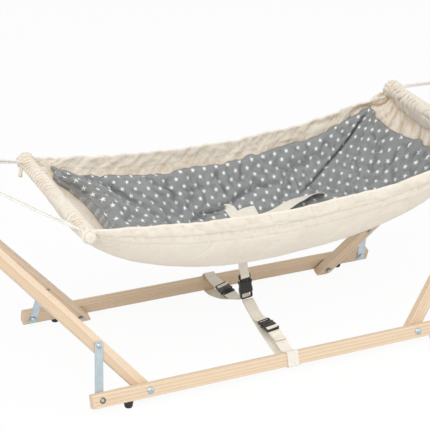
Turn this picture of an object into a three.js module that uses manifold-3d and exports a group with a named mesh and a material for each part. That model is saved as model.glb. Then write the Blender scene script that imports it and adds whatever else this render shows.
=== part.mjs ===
// Baby hammock on a beech stand, in millimetres, +Z up.
// The origin is on the floor, under the middle of the stand. X runs along the rails, Y to the rear.
import * as THREE from "three";
import { mergeVertices } from "three/addons/utils/BufferGeometryUtils.js";
import Module from "manifold-3d";

const wasm = await Module();
wasm.setup();
const degrees = Math.PI / 180;

// Stand: each long side is a flat frame of one rail, two legs and two steel braces, and it leans inwards.
const railLength = 1000;
const lathDepth = 32; // in the plane of the side frame
const lathThickness = 24; // square to that plane
const lathEdge = 2.5;
const track = 468; // between the two rails' centre lines
const lean = 19.2 * degrees;
const railCentreHeight = 30;
const pivotInset = 140; // from the rail's end
const braceInset = 24; // from the rail's end
const legAngle = 50.2 * degrees;
const legEndRadius = 9; // cut level with the rail's underside, with both corners rounded
const braceUpLeg = 155; // from the leg's pivot to the brace's bolt
const footInset = 88; // from the rail's end
const fitGap = 0.3;

// Steel: flat bar, bolts and nuts.
const barWidth = 20;
const barThickness = 2.5;
const barOverhang = 10; // past each hole
const barCorner = 4.5;
const boltRadius = 3;
const boltHoleRadius = 3.3;
const domeRadius = 8;
const domeHeight = 4;
const knobRadius = 9;
const knobHeight = 7;
const nutRadius = 5.8;
const nutHeight = 5;
const flangeRadius = 7.5;
const counterboreRadius = 7.5;
const counterboreDepth = 8;
const screwHeadRadius = 6;
const screwHeadHeight = 3;
const spacerRadius = 9;

// Rubber feet, cut level with the floor.
const footTopRadius = 11.5;
const footBottomRadius = 8.5;

// Head of each A-frame, where the two legs meet in a vertical mitre.
const crownRise = 28.4; // from the head bolt up to the level cut through both legs
const spotFaceRadius = 9.5;
const spotFaceDistance = 9; // from the middle plane to the bolt's seat
const hangerReach = 37; // from the head bolt to the hole that the hook hangs in
const hangerDip = 16 * degrees;
const hangerHoleRadius = 6.5;
const hookPlay = 0.8; // between the hook's wire and the edge of that hole

// Snap hook, as a bent wire with a sprung gate.
const wireRadius = 3;
const hookEndRadius = 13;
const hookStraight = 38;
const gateLength = 30;
const gateRadius = 2.6;

// Hammock: a cloth trough between two round bars, a little higher at its right end.
const leftBarX = -487;
const rightBarX = 537;
const leftBarHeight = 439;
const rightBarHeight = 497;
const barHalfLength = 216; // of the cloth along each bar
const spreaderRadius = 12.5;
const spreaderExtra = 3; // of the bar past the cloth, at each end
const boreClearance = 0.5;
const roll = 4.6 * degrees; // the rear end of each bar hangs higher than its front end
const rimRoll = 2.3 * degrees;
const rimRise = 6; // from a bar's middle up to the rims
const rimSag = 61.5;
const rimMiddle = 0.53; // where the rims hang lowest, as a share of the length
const rimPowers = [1.6, 3.4]; // how late the rims fall, at the left and the right
const bellyDepth = 197;
const bellyMiddle = 0.48; // where it is deepest, as a share of the length
const bellyPowers = [2.4, 2.8]; // how late the belly falls, at the left and the right
const bellyFullness = [0.46, 0.32]; // and how steep its end walls are: lower is steeper
const clothThickness = 2.4;
const hemThickness = 9;
const hemShare = 0.035; // of the section that each hem takes
const gatherDepth = 7;
const gatherCount = 7;
const gatherFade = 0.09; // share of the length in which the gathers fade
const sleeveRadius = 15.5;
const sleevePuff = 20;
const sleeveMouth = 14.5; // radius at the sleeve's gathered ends
const puffLength = 16; // of the widened ends past the ropes
const sleeveTaper = 60; // from the rope to where the sleeve has its full radius
const nooseInset = 30; // from the cloth's edge to the rope round the bar

// Padded liner that lies in the trough.
const linerGap = 0.5;
const linerThickness = 17;
const linerChannels = 4;
const linerEdge = 5;
const linerFrom = 0.08;
const linerTo = 0.965;
const linerSide = 0.08; // how far its long edges stay below the rims, as a share of the section

// Rope and webbing.
const ropeRadius = 2.3;
const ropeSpacing = 5.6;
const knotRadius = 9;
const webWidth = 30;
const webThickness = 1.6;
const webClearance = 0.6;
const tetherX = 8;
const tetherTilt = -7 * degrees; // the centre buckle leans a little to the left
const buckleWidth = 35;
const buckleLength = 62;
const buckleThickness = 9;
const buckleWall = 4.5;
const buckleHead = 12; // of the male half outside the female one
const buckleNeck = 4;
const femaleBottom = 88;
const femaleHeight = 50;
const femaleSeat = 20; // of solid below the mouth
const latchGap = 0.6;
const frontBuckle = [118, 65]; // distance from the middle and height
const rearBuckle = [127, 56];
const upperRoute = [
  [66, 60],
  [34, 73],
];
const frontLowerRoute = [
  [53, 62],
  [103, 43],
  [165, 26],
];
const rearLowerRoute = [
  [55, 64],
  [121, 38],
  [195, 13],
];
const harnessMeet = [0.529, 0.618]; // shares of the trough's length and of its section
const harnessStraps = [
  ["left", [0.485, 0.738], [0.497, 0.632]],
  ["right", [0.735, 0.668], [0.552, 0.615]],
  ["front", [0.545, 0.3], [0.531, 0.598]],
];
const strapRest = 1.5; // of a harness strap above the liner
const strapBow = 5; // that it rises in its middle
const slotShare = 0.06; // of its length that goes down into its slot
const clothGirth = 560; // of the trough's section, where it is full

const finishes = {
  beech: { color: 0xe2c19a, roughness: 0.6, metalness: 0 },
  steel: { color: 0xb4c0c6, roughness: 0.35, metalness: 0.9 },
  rubber: { color: 0x232120, roughness: 0.85, metalness: 0 },
  cotton: { color: 0xece4d4, roughness: 0.95, metalness: 0 },
  liner: { color: 0x8f9492, roughness: 0.95, metalness: 0 },
  rope: { color: 0xf0ece1, roughness: 0.9, metalness: 0 },
  webbing: { color: 0xe9e0cf, roughness: 0.9, metalness: 0 },
  plastic: { color: 0x2a2726, roughness: 0.45, metalness: 0 },
};
const materials = Object.fromEntries(
  Object.entries(finishes).map(([name, look]) => [
    name,
    new THREE.MeshStandardMaterial(look),
  ]),
);

// Solids and meshes
function toSolid(geometry) {
  const bare = new THREE.BufferGeometry();
  const flat = geometry.index ? geometry.toNonIndexed() : geometry;
  bare.setAttribute("position", flat.getAttribute("position").clone());
  const merged = mergeVertices(bare, 1e-4);
  return new wasm.Manifold(
    new wasm.Mesh({
      numProp: 3,
      vertProperties: merged.attributes.position.array,
      triVerts: new Uint32Array(merged.index.array),
    }),
  );
}

function toGeometry(solid) {
  const mesh = solid.getMesh();
  const geometry = new THREE.BufferGeometry();
  geometry.setAttribute(
    "position",
    new THREE.BufferAttribute(new Float32Array(mesh.vertProperties), 3),
  );
  geometry.setIndex(new THREE.BufferAttribute(new Uint32Array(mesh.triVerts), 1));
  geometry.computeVertexNormals();
  return geometry;
}

function add(parent, name, solid, finish) {
  const mesh = new THREE.Mesh(toGeometry(solid), materials[finish]);
  mesh.name = name;
  parent.add(mesh);
  return mesh;
}

function joined(solids) {
  return solids.reduce((sum, next) => sum.add(next));
}

// A cylinder along Z from low to high, at x, y
function rod(radius, low, high, x = 0, y = 0, sides = 16) {
  const geometry = new THREE.CylinderGeometry(radius, radius, high - low, sides);
  geometry.rotateX(90 * degrees);
  geometry.translate(x, y, (low + high) / 2);
  return toSolid(geometry);
}

// A body of revolution about Z, from [radius, height] points that start and end on the axis
function turned(profile, sides = 12) {
  const points = profile.map(([radius, height]) => new THREE.Vector2(radius, height));
  return toSolid(new THREE.LatheGeometry(points, sides).rotateX(90 * degrees));
}

function ring(outer, inner, low, high, sides = 16) {
  return rod(outer, low, high, 0, 0, sides).subtract(
    rod(inner, low - 1, high + 1, 0, 0, sides),
  );
}

// A rectangle with rounded corners, given by its sides; a corner radius of 0 leaves it square
function roundedRect(left, right, bottom, top, cornerRadii) {
  const shape = new THREE.Shape();
  const corners = [
    [left, bottom, 0, 1, 1, 0],
    [right, bottom, -1, 0, 0, 1],
    [right, top, 0, -1, -1, 0],
    [left, top, 1, 0, 0, -1],
  ];
  corners.forEach(([x, y, backX, backY, aheadX, aheadY], i) => {
    const radius = cornerRadii[i];
    const from = [x + backX * radius, y + backY * radius];
    if (i === 0) shape.moveTo(...from);
    else shape.lineTo(...from);
    if (radius > 0) {
      shape.quadraticCurveTo(x, y, x + aheadX * radius, y + aheadY * radius);
    }
  });
  return shape;
}

// A polygon from [x, y, corner radius] points
function roundedPolygon(points) {
  const shape = new THREE.Shape();
  points.forEach(([x, y, radius], i) => {
    const corner = new THREE.Vector2(x, y);
    const [beforeX, beforeY] = points.at(i - 1);
    const [afterX, afterY] = points[(i + 1) % points.length];
    const back = new THREE.Vector2(beforeX, beforeY).sub(corner).setLength(radius);
    const ahead = new THREE.Vector2(afterX, afterY).sub(corner).setLength(radius);
    const from = corner.clone().add(back);
    if (i === 0) shape.moveTo(from.x, from.y);
    else shape.lineTo(from.x, from.y);
    if (radius > 0) shape.quadraticCurveTo(x, y, x + ahead.x, y + ahead.y);
  });
  return shape;
}

// A flat plate from a shape in X and Y, between two heights in Z, with its edges eased
function plate(shape, low, high, edge = 0, curveSegments = 5) {
  const geometry = new THREE.ExtrudeGeometry(shape, {
    depth: high - low - 2 * edge,
    bevelEnabled: edge > 0,
    bevelThickness: edge,
    bevelSize: edge,
    bevelOffset: -edge,
    bevelSegments: 2,
    curveSegments,
  });
  geometry.translate(0, 0, low + edge);
  return toSolid(geometry);
}

function moved(solid, matrix) {
  return solid.transform(matrix.elements);
}

// Points of a round head: from its rim on the seat to its top, which is up or down along Z
function domePoints(radius, height, seat, up = 1, count = 3) {
  return Array.from({ length: count + 1 }, (_, i) => {
    const angle = (90 * degrees * i) / count;
    const across = i === count ? 0 : radius * Math.cos(angle);
    return [across, seat + up * height * Math.sin(angle)];
  });
}

// Side frames. In a side's own frame x runs along the rail, y up the leaning plane and z outwards.
const railHalf = railLength / 2;
const pivotX = railHalf - pivotInset;
const braceX = railHalf - braceInset;
const railFace = lathThickness / 2;
const legOuter = -railFace - barThickness - 2 * fitGap;
const legInner = legOuter - lathThickness;
const barOuter = -railFace - fitGap;
const barInner = barOuter - barThickness;
const braceTop = new THREE.Vector2(
  pivotX + braceUpLeg * Math.cos(legAngle),
  braceUpLeg * Math.sin(legAngle),
);

const frontSide = new THREE.Matrix4()
  .makeRotationX(90 * degrees - lean)
  .setPosition(0, -track / 2, railCentreHeight);
const toSide = frontSide.clone().invert();

// Where the middle of the leg crosses the middle plane, in the object's own X and Z
const legMiddle = (legOuter + legInner) / 2;
const headRise = (track / 2 + legMiddle * Math.cos(lean)) / Math.sin(lean);
const headX = pivotX + headRise / Math.tan(legAngle);
const headZ =
  railCentreHeight + headRise * Math.cos(lean) + legMiddle * Math.sin(lean);

function railSolid() {
  const section = roundedRect(
    -railFace,
    railFace,
    -lathDepth / 2,
    lathDepth / 2,
    [lathEdge, lathEdge, lathEdge, lathEdge],
  );
  let rail = moved(
    plate(section, -railHalf, railHalf, lathEdge * 0.6, 2),
    new THREE.Matrix4().makeRotationY(90 * degrees),
  );
  for (const x of [-pivotX, pivotX, -braceX, braceX]) {
    rail = rail.subtract(rod(boltHoleRadius, -lathThickness, lathThickness, x));
  }
  for (const x of [-braceX, braceX]) {
    rail = rail.subtract(
      rod(counterboreRadius, railFace - counterboreDepth, lathThickness, x, 0, 20),
    );
  }
  return rail;
}

// The leg on the right of a side frame; sign -1 gives the left one
function legSolid(sign) {
  const length = headRise / Math.sin(legAngle) + 3 * lathDepth;
  const half = lathDepth / 2;
  const endAt = (y) => -(half + y * Math.cos(legAngle)) / Math.sin(legAngle);
  const outline = roundedPolygon([
    [length, half, 0],
    [endAt(half), half, legEndRadius],
    [endAt(-half), -half, legEndRadius],
    [length, -half, 0],
  ]);
  const turn = new THREE.Matrix4()
    .makeRotationZ(legAngle)
    .setPosition(pivotX, 0, 0)
    .premultiply(new THREE.Matrix4().makeScale(sign, 1, 1));
  let leg = moved(plate(outline, legInner, legOuter, lathEdge, 4), turn);
  for (const [x, y] of [
    [sign * pivotX, 0],
    [sign * braceTop.x, braceTop.y],
  ]) {
    leg = leg.subtract(rod(boltHoleRadius, legInner - 1, legOuter + 1, x, y));
  }
  const reach = 2 * headX;
  const crownTop = headZ + crownRise;
  const mitre = new THREE.BoxGeometry(2 * reach, reach, 2 * reach);
  mitre.translate(0, reach / 2 - barThickness / 2 - fitGap, crownTop);
  const crown = new THREE.BoxGeometry(2 * reach, 2 * reach, reach);
  crown.translate(0, 0, crownTop + reach / 2);
  leg = leg.subtract(moved(toSolid(mitre), toSide));
  leg = leg.subtract(moved(toSolid(crown), toSide));
  const across = new THREE.Matrix4()
    .makeRotationX(90 * degrees)
    .setPosition(sign * headX, 0, headZ);
  const bolt = rod(boltHoleRadius + 1, -track / 8, track / 8);
  const seat = rod(spotFaceRadius, spotFaceDistance, track / 8, 0, 0, 20);
  for (const tool of [bolt, seat]) {
    leg = leg.subtract(moved(moved(tool, across), toSide));
  }
  return leg;
}

// A flat bar with a hole near each end, from the origin along +X
function flatBar(length, holeAtEnd) {
  const half = barWidth / 2;
  const outline = roundedRect(-barOverhang, length + barOverhang, -half, half, [
    barCorner,
    barCorner,
    barCorner,
    barCorner,
  ]);
  return plate(outline, 0, barThickness)
    .subtract(rod(boltHoleRadius, -1, barThickness + 1))
    .subtract(rod(holeAtEnd, -1, barThickness + 1, length, 0, 20));
}

function braceSolid(sign) {
  const along = new THREE.Vector2(braceTop.x - braceX, braceTop.y);
  const angle = Math.atan2(along.y, sign * along.x);
  return moved(
    flatBar(along.length(), boltHoleRadius),
    new THREE.Matrix4().makeRotationZ(angle).setPosition(sign * braceX, 0, barInner),
  );
}

// Round-headed bolt from the rail's outer face through the leg, with its flange nut
function pivotBoltSolid() {
  const seat = legInner - fitGap;
  return turned([
    [0, seat - nutHeight - 1.5],
    [boltRadius, seat - nutHeight - 1.5],
    [boltRadius, seat - nutHeight],
    [nutRadius, seat - nutHeight],
    [nutRadius, seat - 1.5],
    [flangeRadius, seat - 1.5],
    [flangeRadius, seat],
    [boltRadius, seat],
    [boltRadius, railFace + fitGap],
    ...domePoints(domeRadius, domeHeight, railFace + fitGap),
  ]);
}

// Bolt that holds the brace to the rail: its large round head is on the inner side
function braceKnobSolid() {
  const seat = barInner - fitGap;
  return turned([
    ...domePoints(knobRadius, knobHeight, seat, -1, 4).reverse(),
    [boltRadius, seat],
    [boltRadius, railFace - 1],
    [0, railFace - 1],
  ]);
}

function braceNutSolid() {
  const seat = railFace - counterboreDepth + fitGap;
  return rod(nutRadius, seat, seat + nutHeight, 0, 0, 6).subtract(
    rod(boltHoleRadius, seat - 1, seat + nutHeight + 1),
  );
}

// Screw that holds the brace to the leg, with its nut on the inner side
function braceScrewSolid() {
  const head = barOuter + fitGap;
  const seat = legInner - fitGap;
  return turned([
    [0, seat - nutHeight],
    [nutRadius, seat - nutHeight],
    [nutRadius, seat],
    [boltRadius, seat],
    [boltRadius, head],
    ...domePoints(screwHeadRadius, screwHeadHeight, head),
  ]);
}

// Tapered rubber foot: level on the floor, and cut to the rail's leaning underside.
// It stands under the middle of that underside.
const footY = track / 2 + (lathDepth / 2) * Math.sin(lean);
const footShift = new THREE.Matrix4().makeTranslation(0, footY, 0);

function footSolid() {
  const height = railCentreHeight;
  const cone = turned(
    [
      [0, 0],
      [footBottomRadius - 1.5, 0],
      [footBottomRadius, 1.5],
      [footTopRadius, height],
      [0, height],
    ],
    20,
  );
  const reach = 4 * lathDepth;
  const above = new THREE.BoxGeometry(reach, reach, reach);
  above.translate(0, reach / 2 - lathDepth / 2 - fitGap, 0);
  return cone.subtract(moved(toSolid(above), frontSide.clone().premultiply(footShift)));
}

function at(mesh, x, y, z = 0) {
  mesh.position.set(x, y, z);
  return mesh;
}

function buildSide(name, leftWord, rightWord) {
  const side = new THREE.Group();
  const plane = new THREE.Group();
  plane.rotation.x = 90 * degrees - lean;
  plane.position.set(0, -track / 2, railCentreHeight);
  side.add(plane);
  add(plane, `rail_${name}`, railSolid(), "beech");
  for (const [sign, word] of [
    [-1, leftWord],
    [1, rightWord],
  ]) {
    const tag = `${name}_${word}`;
    add(plane, `leg_${tag}`, legSolid(sign), "beech");
    add(plane, `brace_${tag}`, braceSolid(sign), "steel");
    at(add(plane, `pivot_bolt_${tag}`, pivotBoltSolid(), "steel"), sign * pivotX, 0);
    const spacer = ring(spacerRadius, boltHoleRadius, barInner, barOuter);
    at(add(plane, `pivot_spacer_${tag}`, spacer, "steel"), sign * pivotX, 0);
    at(add(plane, `brace_knob_${tag}`, braceKnobSolid(), "steel"), sign * braceX, 0);
    at(add(plane, `brace_nut_${tag}`, braceNutSolid(), "steel"), sign * braceX, 0);
    at(
      add(plane, `brace_screw_${tag}`, braceScrewSolid(), "steel"),
      sign * braceTop.x,
      braceTop.y,
    );
    const foot = add(side, `foot_${tag}`, footSolid(), "rubber");
    at(foot, sign * (railHalf - footInset), -footY);
  }
  return side;
}

// Heads of the A-frames: a hanger plate between the mitred legs, and the bolt through all three
function hangerSolid() {
  const bar = flatBar(hangerReach, hangerHoleRadius);
  const lie = new THREE.Matrix4()
    .makeRotationX(90 * degrees)
    .setPosition(0, barThickness / 2, 0);
  return moved(bar, lie);
}

function headBoltSolid() {
  const seat = spotFaceDistance + fitGap;
  return turned([
    [0, -seat - nutHeight - 1],
    [nutRadius + 1, -seat - nutHeight - 1],
    [nutRadius + 1, -seat],
    [boltRadius, -seat],
    [boltRadius, seat],
    ...domePoints(domeRadius, domeHeight, seat),
  ]);
}

// The point that the hammock swings about: the middle of the hanger plate's hole
const swingX = headX - hangerReach * Math.cos(hangerDip);
const swingZ = headZ - hangerReach * Math.sin(hangerDip);

function buildHead(sign, word) {
  const head = new THREE.Group();
  head.position.set(sign * headX, 0, headZ);
  const bolt = add(head, `head_bolt_${word}`, headBoltSolid(), "steel");
  bolt.rotation.x = 90 * degrees;
  const hanger = add(head, `hanger_plate_${word}`, hangerSolid(), "steel");
  hanger.rotation.y = sign > 0 ? Math.PI - hangerDip : hangerDip;
  return head;
}

// Hammock surface. s runs from the left bar to the right one, t from the front rim to the rear one.
function mix(a, b, share) {
  return a + (b - a) * share;
}

function barHeight(s) {
  return mix(leftBarHeight, rightBarHeight, s);
}

// Sags from both ends to its full value at a middle, steeper at one end than at the other
function sagShare(s, middle, powers) {
  const left = s < middle;
  const away = left ? 1 - s / middle : (s - middle) / (1 - middle);
  return 1 - away ** powers[left ? 0 : 1];
}

function depthAt(s) {
  const share = sagShare(s, bellyMiddle, bellyPowers);
  return bellyDepth * share ** bellyFullness[s < bellyMiddle ? 0 : 1];
}

function surfacePoint(s, t) {
  const around = Math.PI * t;
  const y = -barHalfLength * Math.cos(around);
  const sag = rimSag * sagShare(s, rimMiddle, rimPowers);
  const rim = barHeight(s) + rimRise - sag + y * Math.tan(rimRoll);
  return new THREE.Vector3(
    mix(leftBarX, rightBarX, s),
    y,
    rim - depthAt(s) * Math.sin(around),
  );
}

// Outward normal of the cloth, which is downwards at the belly
function surfaceNormal(s, t) {
  const step = 0.004;
  const low = Math.max(s, step * 2);
  const here = Math.min(low, 1 - step * 2);
  const across = Math.min(Math.max(t, step), 1 - step);
  const along = surfacePoint(here + step, across).sub(surfacePoint(here - step, across));
  const round = surfacePoint(here, across + step).sub(surfacePoint(here, across - step));
  return round.cross(along).normalize();
}

function offsetPoint(s, t, distance) {
  return surfacePoint(s, t).addScaledVector(surfaceNormal(s, t), distance);
}

// A closed solid between two grids of points; steps are the values of s and t
function sheetSolid(outer, inner, sSteps, tSteps) {
  const positions = [];
  const index = [];
  const across = tSteps.length;
  const layer = sSteps.length * across;
  for (const surface of [outer, inner]) {
    for (const s of sSteps) {
      for (const t of tSteps) positions.push(...surface(s, t).toArray());
    }
  }
  const quad = (a, b, c, d) => index.push(a, b, c, a, c, d);
  for (let i = 0; i + 1 < sSteps.length; i++) {
    for (let j = 0; j + 1 < across; j++) {
      const a = i * across + j;
      quad(a, a + 1, a + across + 1, a + across);
      quad(layer + a, layer + a + across, layer + a + across + 1, layer + a + 1);
    }
  }
  for (let i = 0; i + 1 < sSteps.length; i++) {
    const near = i * across;
    quad(near, near + across, layer + near + across, layer + near);
    const far = near + across - 1;
    quad(far, layer + far, layer + far + across, far + across);
  }
  for (let j = 0; j + 1 < across; j++) {
    quad(j, layer + j, layer + j + 1, j + 1);
    const end = layer - across + j;
    quad(end, end + 1, layer + end + 1, layer + end);
  }
  const geometry = new THREE.BufferGeometry();
  geometry.setAttribute("position", new THREE.Float32BufferAttribute(positions, 3));
  geometry.setIndex(index);
  return toSolid(geometry);
}

function steps(from, to, count, shape = (x) => x) {
  return Array.from({ length: count + 1 }, (_, i) => mix(from, to, shape(i / count)));
}

function easeEnds(x) {
  return (1 - Math.cos(Math.PI * x)) / 2;
}

// Gathers fan out from each bar and fade towards the middle
function gather(s, t) {
  const fromEnd = Math.min(s, 1 - s);
  const fade = Math.exp(-fromEnd / gatherFade);
  return (gatherDepth * fade * (1 - Math.cos(2 * Math.PI * gatherCount * t))) / 2;
}

function hemAt(t) {
  const fromRim = Math.min(t, 1 - t);
  return mix(hemThickness, clothThickness, Math.min(1, fromRim / hemShare) ** 2);
}

// Direction of a spreader bar: along Y, with its rear end higher
const barDirection = new THREE.Vector3(0, Math.cos(roll), Math.sin(roll));

function alongBar(solid, x, z) {
  const turn = new THREE.Quaternion().setFromUnitVectors(
    new THREE.Vector3(0, 0, 1),
    barDirection,
  );
  return moved(
    solid,
    new THREE.Matrix4().compose(
      new THREE.Vector3(x, 0, z),
      turn,
      new THREE.Vector3(1, 1, 1),
    ),
  );
}

const barEnds = [
  ["left", leftBarX, leftBarHeight],
  ["right", rightBarX, rightBarHeight],
];

function sleeveProfile() {
  const end = barHalfLength;
  const noose = barHalfLength - nooseInset;
  const half = [
    [sleeveMouth, end],
    [sleevePuff, end - puffLength / 2],
    [sleevePuff, end - puffLength],
    [sleeveRadius - boreClearance, noose],
    [sleeveRadius, noose - sleeveTaper],
  ];
  const mirrored = half.map(([radius, y]) => [radius, -y]).reverse();
  return [[0, end], ...half, ...mirrored, [0, -end]].reverse();
}

// The liner shares its part of the cloth's grid, so that the two lie evenly on each other
const linerLengths = steps(linerFrom, linerTo, 14, (x) => mix(x, easeEnds(x), 0.5));
const linerWidths = steps(linerSide, 1 - linerSide, 3 * linerChannels);

// Turn of rope round the sleeve, near one end of a bar
const nooseRadius = sleeveRadius + ropeRadius + fitGap;

function noose(end, x, z, thickness) {
  const turn = toSolid(new THREE.TorusGeometry(nooseRadius, thickness, 5, 12));
  return alongBar(turn.translate([0, 0, end * (barHalfLength - nooseInset)]), x, z);
}

function clothSolid() {
  const rims = [0, hemShare];
  const tSteps = [...rims, ...linerWidths, ...rims.map((t) => 1 - t).reverse()];
  const sSteps = [0, 0.02, ...linerLengths, 0.98, 1];
  let cloth = sheetSolid(
    (s, t) => offsetPoint(s, t, gather(s, t) + hemAt(t) - clothThickness),
    (s, t) => offsetPoint(s, t, gather(s, t) - clothThickness),
    sSteps,
    tSteps,
  );
  for (const [, x, z] of barEnds) {
    cloth = cloth.add(alongBar(turned(sleeveProfile(), 12), x, z));
  }
  for (const [, x, z] of barEnds) {
    const bore = rod(
      spreaderRadius + boreClearance,
      -barHalfLength - spreaderRadius,
      barHalfLength + spreaderRadius,
      0,
      0,
      12,
    );
    cloth = cloth.subtract(alongBar(bore, x, z));
    for (const end of [-1, 1]) {
      cloth = cloth.subtract(noose(end, x, z, ropeRadius + fitGap));
    }
  }
  return largest(cloth);
}

// The largest body of a solid that a cut has left in pieces
function largest(solid) {
  const bodies = solid.decompose();
  return bodies.sort((a, b) => b.volume() - a.volume())[0];
}

function spreaderSolid() {
  const half = barHalfLength + spreaderExtra;
  return turned([
    [0, -half],
    [spreaderRadius - 2, -half],
    [spreaderRadius, -half + 2],
    [spreaderRadius, half - 2],
    [spreaderRadius - 2, half],
    [0, half],
  ]);
}

// How far the liner's upper face stands off the cloth, with a crown and sewn channels
function linerLoft(s, t) {
  const along = (s - linerFrom) / (linerTo - linerFrom);
  const across = (t - linerSide) / (1 - 2 * linerSide);
  const inset = Math.min(along, 1 - along, across, 1 - across);
  const crown = THREE.MathUtils.clamp(9 * inset, 0, 1);
  const channel = 0.8 + 0.2 * Math.abs(Math.sin(Math.PI * linerChannels * across));
  return mix(linerEdge, linerThickness * channel, Math.sqrt(crown));
}

function linerSolid() {
  const under = clothThickness + linerGap;
  return sheetSolid(
    (s, t) => offsetPoint(s, t, -under),
    (s, t) => offsetPoint(s, t, -under - linerLoft(s, t)),
    linerLengths,
    linerWidths,
  );
}

// Rope of round section along a line of points, closed at both ends
function tube(points, radius, sides = 6) {
  const path = new THREE.CurvePath();
  for (let i = 0; i + 1 < points.length; i++) {
    path.add(new THREE.LineCurve3(points[i], points[i + 1]));
  }
  return sweep(path, radius, points.length - 1, sides);
}

function sweep(path, radius, count, sides = 8) {
  const section = new THREE.Shape();
  for (let i = 0; i < sides; i++) {
    const angle = (2 * Math.PI * i) / sides;
    const point = [radius * Math.cos(angle), radius * Math.sin(angle)];
    if (i === 0) section.moveTo(...point);
    else section.lineTo(...point);
  }
  return toSolid(
    new THREE.ExtrudeGeometry(section, {
      extrudePath: path,
      steps: count,
      bevelEnabled: false,
    }),
  );
}

function ball(centre, radius, sides = 12) {
  return toSolid(new THREE.SphereGeometry(radius, sides, 8)).translate(centre.toArray());
}

// Snap hook and rope. The hook hangs in the plate's hole and points at the bar's middle.
function hookFrame(sign) {
  const barX = sign > 0 ? rightBarX : leftBarX;
  const barZ = sign > 0 ? rightBarHeight : leftBarHeight;
  const hole = new THREE.Vector3(sign * swingX, 0, swingZ);
  const pull = new THREE.Vector3(barX, 0, barZ).sub(hole).normalize();
  const side = new THREE.Vector3(0, 1, 0);
  const normal = new THREE.Vector3().crossVectors(pull, side);
  const start = hole
    .clone()
    .addScaledVector(pull, hangerHoleRadius - wireRadius - hookPlay);
  return new THREE.Matrix4().makeBasis(pull, side, normal).setPosition(start);
}

const hookLength = 2 * hookEndRadius + hookStraight;
const gateFrom = (hookLength - gateLength) / 2;

// In the hook's own frame x runs from the plate to the rope and y across, with the gate at +y
function hookSolid() {
  const path = new THREE.CurvePath();
  const point = (x, y) => new THREE.Vector3(x, y, 0);
  const centres = [hookEndRadius, hookLength - hookEndRadius];
  const arc = (centre, from, to) => {
    const count = 10;
    for (let i = 0; i < count; i++) {
      const [a, b] = [mix(from, to, i / count), mix(from, to, (i + 1) / count)];
      path.add(
        new THREE.LineCurve3(
          point(centre + hookEndRadius * Math.cos(a), hookEndRadius * Math.sin(a)),
          point(centre + hookEndRadius * Math.cos(b), hookEndRadius * Math.sin(b)),
        ),
      );
    }
  };
  path.add(
    new THREE.LineCurve3(point(gateFrom - fitGap, hookEndRadius), point(centres[0], hookEndRadius)),
  );
  arc(centres[0], Math.PI / 2, (3 * Math.PI) / 2);
  path.add(
    new THREE.LineCurve3(point(centres[0], -hookEndRadius), point(centres[1], -hookEndRadius)),
  );
  arc(centres[1], -Math.PI / 2, Math.PI / 2);
  path.add(
    new THREE.LineCurve3(
      point(centres[1], hookEndRadius),
      point(gateFrom + gateLength + fitGap, hookEndRadius),
    ),
  );
  return sweep(path, wireRadius, 44, 6);
}

// Sprung gate, which turns on the middle of its ball end
function gateSolid() {
  const turn = new THREE.Matrix4().makeRotationY(90 * degrees);
  const arm = rod(gateRadius, 0, gateLength - gateRadius, 0, 0, 12);
  return moved(arm, turn).add(ball(new THREE.Vector3(), gateRadius));
}

// One rope for each end: an eye in the hook, a knot, and a doubled line to a noose on each end of the bar
function ropeSolid(sign) {
  const hook = hookFrame(sign);
  const inHook = (x, y, z) => new THREE.Vector3(x, y, z).applyMatrix4(hook);
  const eye = wireRadius + ropeRadius + fitGap;
  const knotX = hookLength + knotRadius + eye + 2;
  const loop = [];
  const turns = 8;
  for (let i = 0; i <= turns; i++) {
    const angle = mix(Math.PI / 2, (3 * Math.PI) / 2, i / turns);
    loop.push(inHook(hookLength + eye * Math.cos(angle), 0, eye * Math.sin(angle)));
  }
  const eyeEnds = [inHook(knotX, 0, 2), inHook(knotX, 0, -2)];
  const parts = [tube([eyeEnds[0], ...loop, eyeEnds[1]], ropeRadius)];
  const knot = inHook(knotX, 0, 0);
  parts.push(ball(knot, knotRadius));
  const [, barX, barZ] = barEnds[sign > 0 ? 1 : 0];
  for (const end of [-1, 1]) {
    const along = end * (barHalfLength - nooseInset);
    const centre = new THREE.Vector3(barX, 0, barZ).addScaledVector(barDirection, along);
    parts.push(noose(end, barX, barZ, ropeRadius));
    const pull = knot.clone().sub(centre);
    pull.addScaledVector(barDirection, -pull.dot(barDirection)).normalize();
    const start = centre.clone().addScaledVector(pull, nooseRadius);
    const apart = barDirection.clone();
    for (const side of [-1, 1]) {
      const shift = (side * ropeSpacing) / 2;
      parts.push(
        tube(
          [
            start.clone().addScaledVector(apart, shift * 0.8),
            start.clone().lerp(knot, 0.5).addScaledVector(apart, shift),
            knot.clone().addScaledVector(apart, shift * 0.8),
          ],
          ropeRadius,
        ),
      );
    }
  }
  return joined(parts);
}

// Webbing. A band is a line of [y, z] points with a thickness, and its width lies along X.
function bandSolid(points, x, width = webWidth, thickness = webThickness) {
  const line = points.map(([y, z]) => new THREE.Vector2(y, z));
  const sides = [[], []];
  line.forEach((point, i) => {
    const before = line[Math.max(i - 1, 0)];
    const after = line[Math.min(i + 1, line.length - 1)];
    const first = point.clone().sub(before).normalize();
    const second = after.clone().sub(point).normalize();
    const heading = first.clone().add(second).normalize();
    const along = first.length() > 0 ? first : second;
    const stretch = 1 / Math.max(0.5, Math.abs(heading.dot(along)));
    const reach = (thickness / 2) * stretch;
    sides[0].push(new THREE.Vector2(point.x - heading.y * reach, point.y + heading.x * reach));
    sides[1].push(new THREE.Vector2(point.x + heading.y * reach, point.y - heading.x * reach));
  });
  const outline = new THREE.Shape([...sides[0], ...sides[1].reverse()]);
  const stand = new THREE.Matrix4().makeBasis(
    new THREE.Vector3(0, 1, 0),
    new THREE.Vector3(0, 0, 1),
    new THREE.Vector3(1, 0, 0),
  );
  return moved(plate(outline, x - width / 2, x + width / 2), stand);
}

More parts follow.
